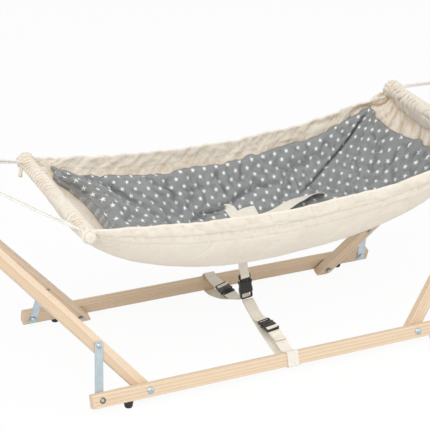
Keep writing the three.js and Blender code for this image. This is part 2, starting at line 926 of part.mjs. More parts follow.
// Corner of a rail in Y and Z with the webbing's clearance added; end -1 is the front rail
function railCorner(end, up, out) {
  const reach = webClearance + webThickness / 2;
  const u = up * (lathDepth / 2 + reach);
  const n = out * (lathThickness / 2 + reach);
  const corner = new THREE.Vector3(0, u, n).applyMatrix4(frontSide);
  return [corner.y * -end, corner.z];
}

const barBand = buckleThickness / 2 + webClearance + webThickness / 2;
const bandTop = femaleBottom + 8;

// Loop round one rail: from its buckle to the middle, and back below to go round the rail
function railStrapSolid(end) {
  const [buckleY, buckleZ] = end < 0 ? frontBuckle : rearBuckle;
  const reach = buckleLength / 2 + fitGap;
  const mirrored = (route) => route.map(([y, z]) => [end * y, z]);
  const points = [
    [end * (buckleY - reach), buckleZ],
    ...mirrored(upperRoute),
    [end * (barBand + 2), bandTop],
    [end * barBand, femaleBottom + 3],
    [end * (barBand + 2), femaleBottom - 3],
    ...mirrored(end < 0 ? frontLowerRoute : rearLowerRoute),
    railCorner(end, -1, -1),
    railCorner(end, -1, 1),
    railCorner(end, 1, 1),
    railCorner(end, 1, -1),
    [end * (buckleY + reach), buckleZ],
  ];
  return bandSolid(points, tetherX);
}

// Outline of a closed side-release buckle, with its male half at the -x end
function buckleOutline(grow = 0) {
  const length = buckleLength / 2 + grow;
  const head = -buckleLength / 2 + buckleHead + grow;
  const shoulder = -buckleLength / 2 + buckleHead + buckleNeck - grow;
  const width = buckleWidth / 2 + grow;
  const ear = width - 1.5;
  const neck = width - buckleWall - 1;
  const upper = [
    [-length, ear, 3],
    [head, ear, 2.5],
    [head + 0.5, neck, 1.5],
    [shoulder, neck, 1.5],
    [shoulder, width, 3],
    [length, width - 2, 7],
  ];
  const lower = upper.map(([x, y, radius]) => [x, -y, radius]).reverse();
  return roundedPolygon([...upper, ...lower]);
}

function strapBuckleSolid(grow = 0) {
  const high = buckleThickness / 2 + grow;
  return plate(buckleOutline(grow), -high, high, 1, 3);
}

// Frame of the tether's buckle, from the middle of the lower half's bottom edge
const fromTether = new THREE.Matrix4()
  .makeRotationY(tetherTilt)
  .setPosition(tetherX, 0, femaleBottom);
const toTether = fromTether.clone().invert();

// Lower half of the tether's buckle, whose mouth is open to the front and rear
function femaleSolid() {
  const width = buckleWidth / 2;
  const inside = width - buckleWall;
  const outline = roundedPolygon([
    [-width + 2, 0, 7],
    [width - 2, 0, 7],
    [width, femaleHeight, 3],
    [inside, femaleHeight, 1.5],
    [inside, femaleSeat, 3],
    [-inside, femaleSeat, 3],
    [-inside, femaleHeight, 1.5],
    [-width, femaleHeight, 3],
  ]);
  return plate(outline, -buckleThickness / 2, buckleThickness / 2, 0.8, 3);
}

// Upper half: a tongue between the other's sides, and the head that holds the strap above
function maleSolid() {
  const inside = buckleWidth / 2 - buckleWall - latchGap;
  const ear = buckleWidth / 2 - 1.5;
  const headBottom = femaleHeight + buckleNeck;
  const top = headBottom + buckleHead;
  const upper = [
    [inside, femaleSeat + latchGap, 7],
    [inside, headBottom, 0],
    [ear, headBottom, 2.5],
    [ear, top, 3],
  ];
  const lower = upper.map(([x, y, radius]) => [-x, y, radius]).reverse();
  const depth = buckleThickness / 2 - 1;
  return plate(roundedPolygon([...upper, ...lower]), -depth, depth, 0.8, 3);
}

// Strap from under the belly to the upper half, in the tilted frame of the tether's buckle
function upperStrapSolid(cloth) {
  const belly = surfacePoint((tetherX - leftBarX) / (rightBarX - leftBarX), 0.5).z;
  const top = belly - femaleBottom;
  const head = femaleHeight + buckleNeck + buckleHead;
  const back = buckleThickness / 2 - 1 + webThickness / 2 + fitGap;
  const band = bandSolid(
    [
      [0, top + clothThickness],
      [0, head + 14],
      [-back, head + 2],
      [-back, head - buckleHead],
    ],
    0,
  );
  const outside = cloth.translate([0, 0, -fitGap]).transform(toTether.elements);
  return largest(band.subtract(outside));
}

// What is left of a solid where it would touch the liner
function clearOf(liner, solid) {
  return largest(solid.subtract(liner.translate([0, -fitGap / 2, fitGap])));
}

// A strap that lies on the liner, from one [s, t] place to another; its first end goes into a slot
function linerStrap(from, to, liner) {
  const length = rightBarX - leftBarX;
  const way = new THREE.Vector2((to[0] - from[0]) * length, (to[1] - from[1]) * clothGirth);
  const cross = new THREE.Vector2(-way.y, way.x).normalize().multiplyScalar(webWidth / 2);
  const place = (along, across) => [
    mix(from[0], to[0], along) + (across * cross.x) / length,
    mix(from[1], to[1], along) + (across * cross.y) / clothGirth,
  ];
  const bed = clothThickness + linerGap + linerThickness + strapRest;
  const stand = (along) => bed + strapBow * Math.sin(Math.PI * along);
  const sunk = (along) => (along > 0 ? 0 : linerThickness / 2);
  const strap = sheetSolid(
    (a, b) => offsetPoint(...place(a, b), sunk(a) - stand(a)),
    (a, b) => offsetPoint(...place(a, b), sunk(a) - stand(a) - webThickness),
    [0, ...steps(slotShare, 1, 7)],
    steps(-1, 1, 2),
  );
  return clearOf(liner, strap.subtract(harnessBuckleSolid(fitGap)));
}

// Closed buckle that lies where the harness straps meet
function harnessBuckleSolid(grow = 0) {
  const turn = new THREE.Quaternion().setFromUnitVectors(
    new THREE.Vector3(0, 0, 1),
    surfaceNormal(...harnessMeet).negate(),
  );
  const bed = clothThickness + linerGap + linerThickness + buckleThickness / 2;
  const place = new THREE.Matrix4().compose(
    offsetPoint(...harnessMeet, -bed),
    turn,
    new THREE.Vector3(1, 1, 1),
  );
  return moved(strapBuckleSolid(grow), place);
}

// Assembly
const hammockStand = new THREE.Group();
hammockStand.add(buildSide("front", "left", "right"));
const rearSide = buildSide("rear", "right", "left");
rearSide.rotation.z = Math.PI;
hammockStand.add(rearSide);
hammockStand.add(buildHead(-1, "left"), buildHead(1, "right"));

for (const [word, x, z] of barEnds) {
  add(hammockStand, `spreader_bar_${word}`, alongBar(spreaderSolid(), x, z), "beech");
}
const cloth = clothSolid();
const liner = linerSolid();
add(hammockStand, "hammock_cloth", cloth, "cotton");
add(hammockStand, "padded_liner", liner, "liner");

for (const [word, sign] of [
  ["left", -1],
  ["right", 1],
]) {
  const frame = new THREE.Group();
  frame.applyMatrix4(hookFrame(sign));
  add(frame, `snap_hook_${word}`, hookSolid(), "steel");
  const gate = add(frame, `snap_hook_gate_${word}`, gateSolid(), "steel");
  at(gate, gateFrom + gateRadius, hookEndRadius);
  hammockStand.add(frame);
  add(hammockStand, `hanging_rope_${word}`, ropeSolid(sign), "rope");
}

const upright = new THREE.Group();
upright.applyMatrix4(fromTether);
const flat = new THREE.Group();
flat.rotation.x = 90 * degrees;
upright.add(flat);
add(flat, "tether_buckle_female", femaleSolid(), "plastic");
add(flat, "tether_buckle_male", maleSolid(), "plastic");
add(upright, "tether_strap_upper", upperStrapSolid(cloth), "webbing");
hammockStand.add(upright);
for (const [word, end, [y, z]] of [
  ["front", -1, frontBuckle],
  ["rear", 1, rearBuckle],
]) {
  add(hammockStand, `tether_strap_${word}`, railStrapSolid(end), "webbing");
  const buckle = strapBuckleSolid();
  const mesh = add(hammockStand, `tether_buckle_${word}`, buckle, "plastic");
  mesh.rotation.z = end * 90 * degrees;
  mesh.position.set(tetherX, end * y, z);
}

for (const [word, from, to] of harnessStraps) {
  add(hammockStand, `harness_strap_${word}`, linerStrap(from, to, liner), "webbing");
}
add(hammockStand, "harness_buckle", clearOf(liner, harnessBuckleSolid()), "plastic");

export default hammockStand;
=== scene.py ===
import math

import bmesh
import bpy
import numpy as np
from mathutils import Matrix, Vector


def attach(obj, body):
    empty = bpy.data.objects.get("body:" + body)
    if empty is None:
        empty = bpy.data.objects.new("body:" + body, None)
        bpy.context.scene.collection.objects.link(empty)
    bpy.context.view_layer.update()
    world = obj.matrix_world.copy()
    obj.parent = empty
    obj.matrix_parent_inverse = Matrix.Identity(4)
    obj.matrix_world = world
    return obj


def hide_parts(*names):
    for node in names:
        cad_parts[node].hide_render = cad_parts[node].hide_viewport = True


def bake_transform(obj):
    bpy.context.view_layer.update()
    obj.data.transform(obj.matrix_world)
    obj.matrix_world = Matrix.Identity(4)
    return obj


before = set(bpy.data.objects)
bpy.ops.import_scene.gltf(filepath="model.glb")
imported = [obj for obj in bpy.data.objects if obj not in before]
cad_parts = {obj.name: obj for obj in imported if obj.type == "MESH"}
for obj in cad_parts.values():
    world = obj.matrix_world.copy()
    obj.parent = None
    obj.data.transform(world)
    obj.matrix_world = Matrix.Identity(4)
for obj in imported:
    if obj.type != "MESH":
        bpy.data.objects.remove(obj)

scene = bpy.context.scene
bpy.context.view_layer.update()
for spare in ("Cube", "Light", "Camera"):
    if spare in bpy.data.objects:
        bpy.data.objects.remove(bpy.data.objects[spare])

def newObject(name, data):
    made = bpy.data.objects.new(name, data)
    scene.collection.objects.link(made)
    return made


# camera, at the photograph's angle; everything below is in metres
cameraSetup = {
    "lens": 124.353,
    "azimuth": -26.292,
    "elevation": 22.295,
    "tilt": 0.908,
    "distance": 3.72244,
    "aim": (-0.07036, 0.261672),
    "aimHeight": 0.029,
}


def placeCamera(setup):
    azimuth, elevation, tilt = (math.radians(setup[k]) for k in ("azimuth", "elevation", "tilt"))
    back = Vector((
        math.sin(azimuth) * math.cos(elevation),
        -math.cos(azimuth) * math.cos(elevation),
        math.sin(elevation),
    ))
    level = (-back).cross(Vector((0, 0, 1))).normalized()
    upright = level.cross(-back)
    across = level * math.cos(tilt) + upright * math.sin(tilt)
    rise = upright * math.cos(tilt) - level * math.sin(tilt)
    target = Vector((0, 0, setup["aimHeight"])) + across * setup["aim"][0] + rise * setup["aim"][1]
    data = bpy.data.cameras.new("camera")
    data.lens = setup["lens"]
    data.clip_start, data.clip_end = 0.1, 60
    camera = newObject("camera", data)
    turn = Matrix((across, rise, back)).transposed().to_4x4()
    camera.matrix_world = Matrix.Translation(target + back * setup["distance"]) @ turn
    scene.camera = camera


placeCamera(cameraSetup)
scene.view_settings.view_transform = "Standard"
print("camera placed")


# small tools for meshes
def unit(vectors):
    return vectors / np.linalg.norm(vectors, axis=-1, keepdims=True)


def circle(sides):
    return [(math.cos(2 * math.pi * k / sides), math.sin(2 * math.pi * k / sides)) for k in range(sides)]


# edges sharper than these stay crisp
clothAngle = math.radians(80)
strapAngle = math.radians(60)
plasticAngle = math.radians(28)


def addPiece(name, points, faces, materials=(), uv=None, smooth=True, faceMaterial=None):
    mesh = bpy.data.meshes.new(name)
    points = np.asarray(points, float).reshape(-1, 3)
    mesh.from_pydata(points.tolist(), [], [tuple(int(i) for i in face) for face in faces])
    if uv is not None:
        layer = mesh.uv_layers.new(name="length")
        corners = np.zeros(len(mesh.loops), np.int32)
        mesh.loops.foreach_get("vertex_index", corners)
        layer.data.foreach_set("uv", np.asarray(uv, np.float32).reshape(-1, 2)[corners].ravel())
    for material in materials:
        mesh.materials.append(material)
    if faceMaterial is not None:
        mesh.polygons.foreach_set("material_index", np.asarray(faceMaterial, np.int32))
    mesh.polygons.foreach_set("use_smooth", [smooth] * len(mesh.polygons))
    mesh.update()
    piece = newObject(name, mesh)
    return piece


def crossed(u, v):
    return np.meshgrid(u, v, indexing="ij")


def gridFaces(rows, columns, aroundRows=False, aroundColumns=False, first=0, flip=False):
    faces = []
    for i in range(rows if aroundRows else rows - 1):
        for j in range(columns if aroundColumns else columns - 1):
            a = first + i * columns + j
            b = first + i * columns + (j + 1) % columns
            c = first + ((i + 1) % rows) * columns + (j + 1) % columns
            d = first + ((i + 1) % rows) * columns + j
            faces.append((d, c, b, a) if flip else (a, b, c, d))
    return faces


def closedSheet(rows, columns):
    # faces of two grids of points, the upper one first, closed all round their edges
    faces = gridFaces(rows, columns) + gridFaces(rows, columns, first=rows * columns, flip=True)
    low, last, end = rows * columns, columns - 1, (rows - 1) * columns
    for a in range(0, end, columns):
        b = a + columns
        faces.append((a, b, low + b, low + a))
        faces.append((a + last, low + a + last, low + b + last, b + last))
    for j in range(columns - 1):
        faces.append((j, low + j, low + j + 1, j + 1))
        faces.append((end + j, end + j + 1, low + end + j + 1, low + end + j))
    return faces


def closedTube(rows, columns):
    # faces of a grid that runs round itself, with both its ends closed
    ends = [tuple(range(columns))[::-1], tuple(range((rows - 1) * columns, rows * columns))]
    return gridFaces(rows, columns, aroundColumns=True) + ends


def joinPieces(name, pieces):
    if len(pieces) == 1:
        return pieces[0]
    bpy.ops.object.select_all(action="DESELECT")
    for piece in pieces:
        piece.select_set(True)
    bpy.context.view_layer.objects.active = pieces[0]
    bpy.ops.object.join()
    pieces[0].name = name
    pieces[0].data.name = name
    return pieces[0]


def settle(piece, body, node=None):
    # the piece moves with its body, and takes the place of a CAD node where it shows that one
    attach(piece, body)
    if node:
        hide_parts(node)
    return piece


def plainMesh(piece):
    # modifiers worked into the mesh
    graph = bpy.context.evaluated_depsgraph_get()
    made = bpy.data.meshes.new_from_object(piece.evaluated_get(graph))
    piece.modifiers.clear()
    piece.data = made
    made.name = piece.name
    return piece


def evenOut(piece, angle=math.radians(40)):
    # doubles merged, normals outwards, flat faces kept flat
    work = bmesh.new()
    work.from_mesh(piece.data)
    bmesh.ops.remove_doubles(work, verts=work.verts, dist=1e-6)
    bmesh.ops.recalc_face_normals(work, faces=work.faces)
    for edge in work.edges:
        edge.smooth = not (len(edge.link_faces) == 2 and edge.calc_face_angle() > angle)
    work.to_mesh(piece.data)
    work.free()
    piece.data.update()
    return piece


def meshValues(collection, field, width):
    values = np.zeros(len(collection) * width, int if field == "vertices" else float)
    collection.foreach_get(field, values)
    return values.reshape(-1, width)


def markFoldShade(piece, *steps):
    # how deep each point lies in a fold, from 0 to 1, kept as an attribute from which the cloth's colour
    # takes painted shade in its folds;
    # each step smooths the faces over more rounds and compares the depth with its own measure
    mesh = piece.data
    where, normals = meshValues(mesh.vertices, "co", 3), meshValues(mesh.vertices, "normal", 3)
    first, second = meshValues(mesh.edges, "vertices", 2).T
    count = len(where)
    ends = np.bincount(first, minlength=count) + np.bincount(second, minlength=count)
    smooth, total = where.copy(), np.zeros(count)
    for rounds, depth, share in steps:
        for _ in range(rounds):
            around = [
                np.bincount(first, smooth[second, axis], count)
                + np.bincount(second, smooth[first, axis], count)
                for axis in range(3)
            ]
            smooth = 0.4 * smooth + 0.6 * np.stack(around, 1) / ends[:, None]
        sunk = np.sum((smooth - where) * normals, 1)
        total += share * np.clip((sunk - np.median(sunk)) / depth, -0.5, 1)
    mark = mesh.attributes.new("hollow", "FLOAT", "POINT")
    mark.data.foreach_set("value", np.clip(total, 0, 1))


def softNoise(u, v, seed):
    # smooth noise from -1 to 1 with cells one unit across
    table = np.random.default_rng(seed).random((67, 71)) * 2 - 1
    u, v = np.broadcast_arrays(np.asarray(u, float), np.asarray(v, float))
    cellU, cellV = np.floor(u).astype(int), np.floor(v).astype(int)
    shareU, shareV = u - cellU, v - cellV
    shareU, shareV = (x * x * x * (x * (6 * x - 15) + 10) for x in (shareU, shareV))
    pick = lambda a, b: table[(cellU + a) % 67, (cellV + b) % 71]
    low = pick(0, 0) * (1 - shareU) + pick(1, 0) * shareU
    high = pick(0, 1) * (1 - shareU) + pick(1, 1) * shareU
    return low * (1 - shareV) + high * shareV


def creases(u, v, seed, width=0.16):
    # thin crease lines, 1 on the line and 0 away from it
    return np.exp(-((softNoise(u, v, seed) / width) ** 2))


def smoothStep(x):
    x = np.clip(x, 0, 1)
    return x * x * (3 - 2 * x)


def smoothLine(points, rounds=3):
    # corners cut off a line, its ends kept
    points = np.asarray(points, float)
    for _ in range(rounds):
        ahead = points[:-1] * 0.75 + points[1:] * 0.25
        behind = points[:-1] * 0.25 + points[1:] * 0.75
        mixed = np.empty((len(ahead) * 2, points.shape[1]))
        mixed[0::2], mixed[1::2] = ahead, behind
        points = np.vstack([points[:1], mixed, points[-1:]])
    return points


def evenLine(points, spacing):
    points = np.asarray(points, float)
    steps = np.linalg.norm(np.diff(points, axis=0), axis=1)
    along = np.concatenate([[0], np.cumsum(steps)])
    count = max(2, int(round(along[-1] / spacing)) + 1)
    places = np.linspace(0, along[-1], count)
    return np.stack([np.interp(places, along, points[:, k]) for k in range(points.shape[1])], 1)


def tubeMesh(points, radius, sides):
    # a tube along a line, closed at both ends
    points = np.asarray(points, float)
    radius = np.broadcast_to(radius, len(points))
    heading = np.gradient(points, axis=0)
    heading = unit(heading)
    side = np.cross(heading[0], [0, 0, 1.0])
    if np.linalg.norm(side) < 1e-3:
        side = np.cross(heading[0], [0, 1.0, 0])
    rings = []
    for i, (point, ahead) in enumerate(zip(points, heading)):
        side = side - ahead * (side @ ahead)
        side = unit(side)
        other = np.cross(ahead, side)
        rings.append(point + radius[i] * (np.array(circle(sides)) @ [side, other]))
    return np.concatenate(rings), [face[::-1] for face in closedTube(len(points), sides)]


def turnedMesh(profile, sides):
    # a body turned about Z from (radius, height) points that start and end on the axis
    points, faces = [(0, 0, profile[0][1])], []
    inner = profile[1:-1]
    for radius, height in inner:
        points += [(radius * x, radius * y, height) for x, y in circle(sides)]
    points.append((0, 0, profile[-1][1]))
    faces += gridFaces(len(inner), sides, aroundColumns=True, first=1)
    last = 1 + (len(inner) - 1) * sides
    for k in range(sides):
        faces.append((0, 1 + (k + 1) % sides, 1 + k))
        faces.append((len(points) - 1, last + k, last + (k + 1) % sides))
    return np.array(points), faces


def slabPiece(name, outline, low, high, materials, ease=0.0008, place=None, steps=3):
    # a flat plate from an outline in X and Y, its edges rounded over
    work = bmesh.new()
    corners = [work.verts.new((x, y, low)) for x, y in outline]
    face = work.faces.new(corners)
    lifted = bmesh.ops.extrude_face_region(work, geom=[face])
    bmesh.ops.translate(
        work, verts=[v for v in lifted["geom"] if isinstance(v, bmesh.types.BMVert)], vec=(0, 0, high - low)
    )
    bmesh.ops.recalc_face_normals(work, faces=work.faces)
    if ease:
        rims = [e for e in work.edges if abs(e.verts[0].co.z - e.verts[1].co.z) < 1e-7]
        bmesh.ops.bevel(work, geom=rims, offset=ease, segments=steps, profile=0.5, affect="EDGES")
    mesh = bpy.data.meshes.new(name)
    work.to_mesh(mesh)
    work.free()
    for material in materials:
        mesh.materials.append(material)
    mesh.polygons.foreach_set("use_smooth", [True] * len(mesh.polygons))
    piece = newObject(name, mesh)
    if place is not None:
        mesh.transform(place)
    return evenOut(piece, plasticAngle)


def roundedOutline(points, arcSteps=6):
    # (x, y, corner radius) points to a closed line with its corners rounded
    line = []
    for i, (x, y, radius) in enumerate(points):
        corner = np.array([x, y], float)
        before = np.array(points[i - 1][:2], float) - corner
        after = np.array(points[(i + 1) % len(points)][:2], float) - corner
        if radius <= 0:
            line.append(tuple(corner))
            continue
        first, last = corner + unit(before) * radius, corner + unit(after) * radius
        for k in range(arcSteps + 1):
            share = k / arcSteps
            spot = first * (1 - share) ** 2 + 2 * corner * share * (1 - share) + last * share**2
            line.append(tuple(spot))
    return line


# small tools for materials
def tone(red, green, blue):
    # a colour as a picture program shows it, 0 to 255
    linear = [((c / 255 + 0.055) / 1.055) ** 2.4 if c > 10 else c / 255 / 12.92 for c in (red, green, blue)]
    return (*linear, 1)


def geo(tree, kind, links=None, **settings):
    made = tree.nodes.new(kind)
    for key, value in settings.items():
        setattr(made, key, value)
    for key, value in (links or {}).items():
        if isinstance(value, bpy.types.NodeSocket):
            tree.links.new(value, made.inputs[key])
        else:
            made.inputs[key].default_value = value
    return made


def addNode(tree, kind, links=None, **settings):
    return geo(tree, "ShaderNode" + kind, links, **settings)


def calc(tree, operation, *values):
    return addNode(tree, "Math", dict(enumerate(values)), operation=operation).outputs[0]


def times(tree, *values):
    return calc(tree, "MULTIPLY", *values)


def ramp(tree, share, *stops):
    made = addNode(tree, "ValToRGB", {0: share})
    marks = made.color_ramp.elements
    for i, (position, colour) in enumerate(stops):
        mark = marks[i] if i < 2 else marks.new(position)
        mark.position = position
        mark.color = colour if hasattr(colour, "__len__") else (colour, colour, colour, 1)
    return made.outputs[0]


def mixTones(tree, share, first, second, blend="MIX"):
    return addNode(tree, "Mix", {0: share, 6: first, 7: second}, data_type="RGBA",
                   blend_type=blend).outputs[2]


def scaled(tree, vector, x, y, z=1.0):
    made = addNode(tree, "VectorMath", {0: vector}, operation="MULTIPLY")
    made.inputs[1].default_value = (x, y, z)
    return made.outputs[0]


def noiseAt(tree, vector, scale, detail=2.0, roughness=0.5):
    # soft noise with so many cells per metre along each axis
    links = {"Vector": scaled(tree, vector, *scale), "Scale": 1.0, "Detail": detail, "Roughness": roughness}
    return addNode(tree, "TexNoise", links).outputs[0]


def bumpOn(tree, shader, *heights):
    # several (height, strength, distance) bumps, one after another
    below = None
    for height, strength, distance in heights:
        bump = addNode(tree, "Bump", {"Height": height, "Strength": strength, "Distance": distance})
        if below is not None:
            tree.links.new(below, bump.inputs["Normal"])
        below = bump.outputs[0]
    tree.links.new(below, shader.inputs["Normal"])


def newMaterial(name, **sockets):
    material = bpy.data.materials.new(name)
    material.use_nodes = True
    tree = material.node_tree
    shader = tree.nodes["Principled BSDF"]
    for key, value in sockets.items():
        shader.inputs[key.replace("_", " ")].default_value = value
    return material, tree, shader


def objectPoint(tree):
    return addNode(tree, "TexCoord").outputs["Object"]


def wornEdges(tree, colour, low, high, share, paler):
    worn = ramp(tree, addNode(tree, "NewGeometry").outputs["Pointiness"], (low, 0.0), (high, 1.0))
    return mixTones(tree, times(tree, worn, share), colour, paler)


# painted shade: the colour goes towards a darker tone where a point lies deep in a fold
def paintFoldShade(tree, colour, share, shadeTone):
    hollow = addNode(tree, "Attribute", attribute_name="hollow").outputs["Fac"]
    return mixTones(tree, times(tree, hollow, share), colour, shadeTone)


# beech
beechLook = {
    "pale": tone(233, 213, 188),
    "middle": tone(222, 197, 167),
    "line": tone(198, 167, 134),
    "fleck": tone(160, 122, 90),
    "ringWidth": 0.0052,
}


def beechMaterial(name, along, seed, paintedShade=0.0, look=beechLook):
    material, tree, shader = newMaterial(name, Coat_Weight=0.12, Coat_Roughness=0.35)
    turn = Vector(along).rotation_difference(Vector((1, 0, 0))).to_matrix()
    turn = Matrix.Rotation(math.radians(31 + 40 * seed), 3, "X") @ turn
    placed = addNode(tree, "Mapping", {"Vector": objectPoint(tree)})
    placed.inputs["Rotation"].default_value = turn.to_euler()
    placed.inputs["Location"].default_value = (seed * 1.7, seed * 0.31, seed * 0.23)
    point = placed.outputs[0]
    rings = addNode(
        tree, "TexWave",
        {"Vector": scaled(tree, point, 0.05, 1, 1), "Scale": 0.314 / look["ringWidth"], "Distortion": 5.0,
         "Detail": 2.0, "Detail Scale": 0.35, "Detail Roughness": 0.6},
        wave_type="BANDS", bands_direction="Z", wave_profile="SAW",
    ).outputs[1]
    broad = noiseAt(tree, point, (2.5, 38, 38), 3)
    fibres = noiseAt(tree, point, (28, 1100, 1100), 3)
    share = calc(tree, "MULTIPLY_ADD", rings, 0.42, times(tree, broad, 0.36))
    share = calc(tree, "MULTIPLY_ADD", fibres, 0.34, share)
    colour = ramp(tree, share, (0.28, look["pale"]), (0.58, look["middle"]), (0.9, look["line"]))
    flecks = ramp(tree, noiseAt(tree, point, (160, 1700, 1700), 1), (0.64, 0.0), (0.74, 1.0))
    colour = mixTones(tree, times(tree, flecks, 0.55), colour, look["fleck"])
    colour = wornEdges(tree, colour, 0.50, 0.56, 0.25, look["pale"])
    # painted shade: the rear side's copies are made a little darker
    if paintedShade:
        colour = mixTones(tree, paintedShade, colour, tone(196, 158, 124), "MULTIPLY")
    tree.links.new(colour, shader.inputs["Base Color"])
    tree.links.new(ramp(tree, fibres, (0.3, 0.42), (0.7, 0.6)), shader.inputs["Roughness"])
    bumpOn(tree, shader, (fibres, 0.25, 0.0002), (rings, 0.12, 0.0002))
    return material


# zinc-plated steel
zincLook = {"light": tone(186, 202, 209), "dark": tone(158, 177, 187), "spangle": 90.0}
darkZincLook = {"light": tone(104, 106, 108), "dark": tone(66, 66, 68), "spangle": 90.0}


def zincMaterial(name, along=(1, 0, 0), look=zincLook):
    material, tree, shader = newMaterial(name, Metallic=0.92)
    turn = Vector(along).rotation_difference(Vector((1, 0, 0))).to_euler()
    placed = addNode(tree, "Mapping", {"Vector": objectPoint(tree)})
    placed.inputs["Rotation"].default_value = turn
    point = placed.outputs[0]
    spangle = addNode(tree, "TexVoronoi", {"Vector": point, "Scale": look["spangle"]},
                      feature="SMOOTH_F1").outputs[0]
    cloud = noiseAt(tree, point, (60, 60, 60), 4)
    drawn = noiseAt(tree, point, (25, 1400, 1400), 2)
    share = calc(tree, "MULTIPLY_ADD", spangle, 0.5, times(tree, cloud, 0.6))
    colour = ramp(tree, share, (0.3, look["light"]), (0.75, look["dark"]))
    colour = wornEdges(tree, colour, 0.52, 0.6, 0.4, tone(228, 232, 234))
    tree.links.new(colour, shader.inputs["Base Color"])
    rough = calc(tree, "MULTIPLY_ADD", drawn, 0.22, times(tree, cloud, 0.32))
    tree.links.new(calc(tree, "ADD", rough, 0.1), shader.inputs["Roughness"])
    bumpOn(tree, shader, (drawn, 0.08, 0.0001), (spangle, 0.04, 0.0002))
    return material


# black rubber and black moulded plastic
def blackMaterial(name, base, rough, grain, shine=0.5):
    material, tree, shader = newMaterial(name, Specular_IOR_Level=shine)
    point = objectPoint(tree)
    fine = noiseAt(tree, point, (grain, grain, grain), 2)
    broad = noiseAt(tree, point, (60, 60, 60), 3)
    lighter = tuple(min(1, c * 1.9 + 0.004) for c in base[:3]) + (1,)
    colour = ramp(tree, calc(tree, "MULTIPLY_ADD", fine, 0.4, times(tree, broad, 0.6)),
                  (0.35, base), (0.75, lighter))
    colour = wornEdges(tree, colour, 0.53, 0.62, 0.35, tone(92, 88, 85))
    tree.links.new(colour, shader.inputs["Base Color"])
    tree.links.new(ramp(tree, broad, (0.3, rough - 0.06), (0.7, rough + 0.1)), shader.inputs["Roughness"])
    bumpOn(tree, shader, (fine, 0.3, 0.00015))
    return material


# cotton canvas, with its own length and girth as UV
canvasLook = {
    "base": tone(238, 231, 218),
    "slub": tone(223, 211, 193),
    # painted shade: fold is the tone for creases, valley the tone deep in folds
    "fold": tone(222, 196, 164),
    "valley": tone(196, 160, 120),
    "speck": tone(150, 120, 88),
    "thread": 0.0009,
}


def weaveHeight(tree, across, along, thread):
    over = calc(tree, "SINE", times(tree, across, math.pi / thread))
    under = calc(tree, "SINE", times(tree, along, math.pi / thread))
    return calc(tree, "MULTIPLY_ADD", times(tree, over, under), 0.5, 0.5)


def ownLength(tree):
    made = addNode(tree, "UVMap", uv_map="length")
    parts = addNode(tree, "SeparateXYZ", {0: made.outputs[0]})
    return made.outputs[0], parts.outputs[0], parts.outputs[1]


def canvasMaterial(name, look=canvasLook):
    material, tree, shader = newMaterial(name, Roughness=0.92, Sheen_Weight=0.25, Sheen_Roughness=0.5)
    place, along, across = ownLength(tree)
    weave = weaveHeight(tree, along, across, look["thread"])
    slubs = noiseAt(tree, place, (26, 900, 1), 2)
    cross = noiseAt(tree, place, (900, 26, 1), 2)
    cloud = noiseAt(tree, place, (7, 9, 1), 3)
    threads = calc(tree, "ADD", times(tree, slubs, 0.4), times(tree, cross, 0.35))
    share = calc(tree, "MULTIPLY_ADD", cloud, 0.3, threads)
    colour = ramp(tree, share, (0.46, look["base"]), (0.72, look["slub"]))
    specks = ramp(tree, noiseAt(tree, place, (520, 520, 1), 1), (0.74, 0.0), (0.78, 1.0))
    colour = mixTones(tree, times(tree, specks, 0.35), colour, look["speck"])
    # painted shade: ambient occlusion warms and darkens the colour in creases, and the fold depth darkens
    # it further towards the valley tone
    nearby = addNode(tree, "AmbientOcclusion", {"Distance": 0.022}, samples=6).outputs["AO"]
    aoShade = ramp(tree, nearby, (0.35, 1.0), (0.92, 0.0))
    colour = mixTones(tree, times(tree, aoShade, 0.45), colour, look["fold"])
    colour = paintFoldShade(tree, colour, 0.85, look["valley"])
    tree.links.new(colour, shader.inputs["Base Color"])
    creased = noiseAt(tree, place, (55, 70, 1), 4, 0.6)
    bumpOn(tree, shader, (creased, 0.35, 0.0012), (threads, 0.3, 0.0003), (weave, 0.25, 0.0002))
    return material


# grey cotton print with small white stars, on the liner's own length and girth
starLook = {
    "grey": tone(150, 152, 152),
    "greyDark": tone(138, 141, 141),
    # painted shade: the tone deep in the liner's folds
    "valley": tone(62, 62, 64),
    "star": tone(240, 242, 243),
    "pitch": (0.036, 0.0185),
    "tip": 0.0071,
    "notch": 0.0028,
}


def starShare(tree, along, across, look):
    # 1 inside a five-pointed star; every second row is shifted by half a pitch
    pitchU, pitchV = look["pitch"]
    row = calc(tree, "FLOOR", calc(tree, "DIVIDE", across, pitchV))
    shift = times(tree, calc(tree, "MODULO", calc(tree, "ABSOLUTE", row), 2.0), 0.5)
    column = calc(tree, "ADD", calc(tree, "DIVIDE", along, pitchU), shift)
    x = times(tree, calc(tree, "SUBTRACT", calc(tree, "FRACT", column), 0.5), pitchU)
    y = calc(tree, "SUBTRACT", calc(tree, "DIVIDE", across, pitchV), row)
    y = times(tree, calc(tree, "SUBTRACT", y, 0.5), pitchV)
    radius = calc(tree, "SQRT",
                  calc(tree, "ADD", times(tree, x, x), times(tree, y, y)))
    fifth = 2 * math.pi / 5
    angle = calc(tree, "ADD", calc(tree, "ARCTAN2", x, y), 10 * math.pi)
    angle = calc(tree, "MODULO", angle, fifth)
    angle = calc(tree, "SUBTRACT", fifth / 2,
                 calc(tree, "ABSOLUTE", calc(tree, "SUBTRACT", angle, fifth / 2)))
    tip, notch = look["tip"], look["notch"]
    notchX, notchY = notch * math.cos(fifth / 2), notch * math.sin(fifth / 2)
    armX = calc(tree, "SUBTRACT", times(tree, radius, calc(tree, "COSINE", angle)), tip)
    armY = times(tree, radius, calc(tree, "SINE", angle))
    edge = calc(tree, "ADD", times(tree, armX, notchY),
                times(tree, armY, tip - notchX))
    return calc(tree, "LESS_THAN", edge, 0.0)


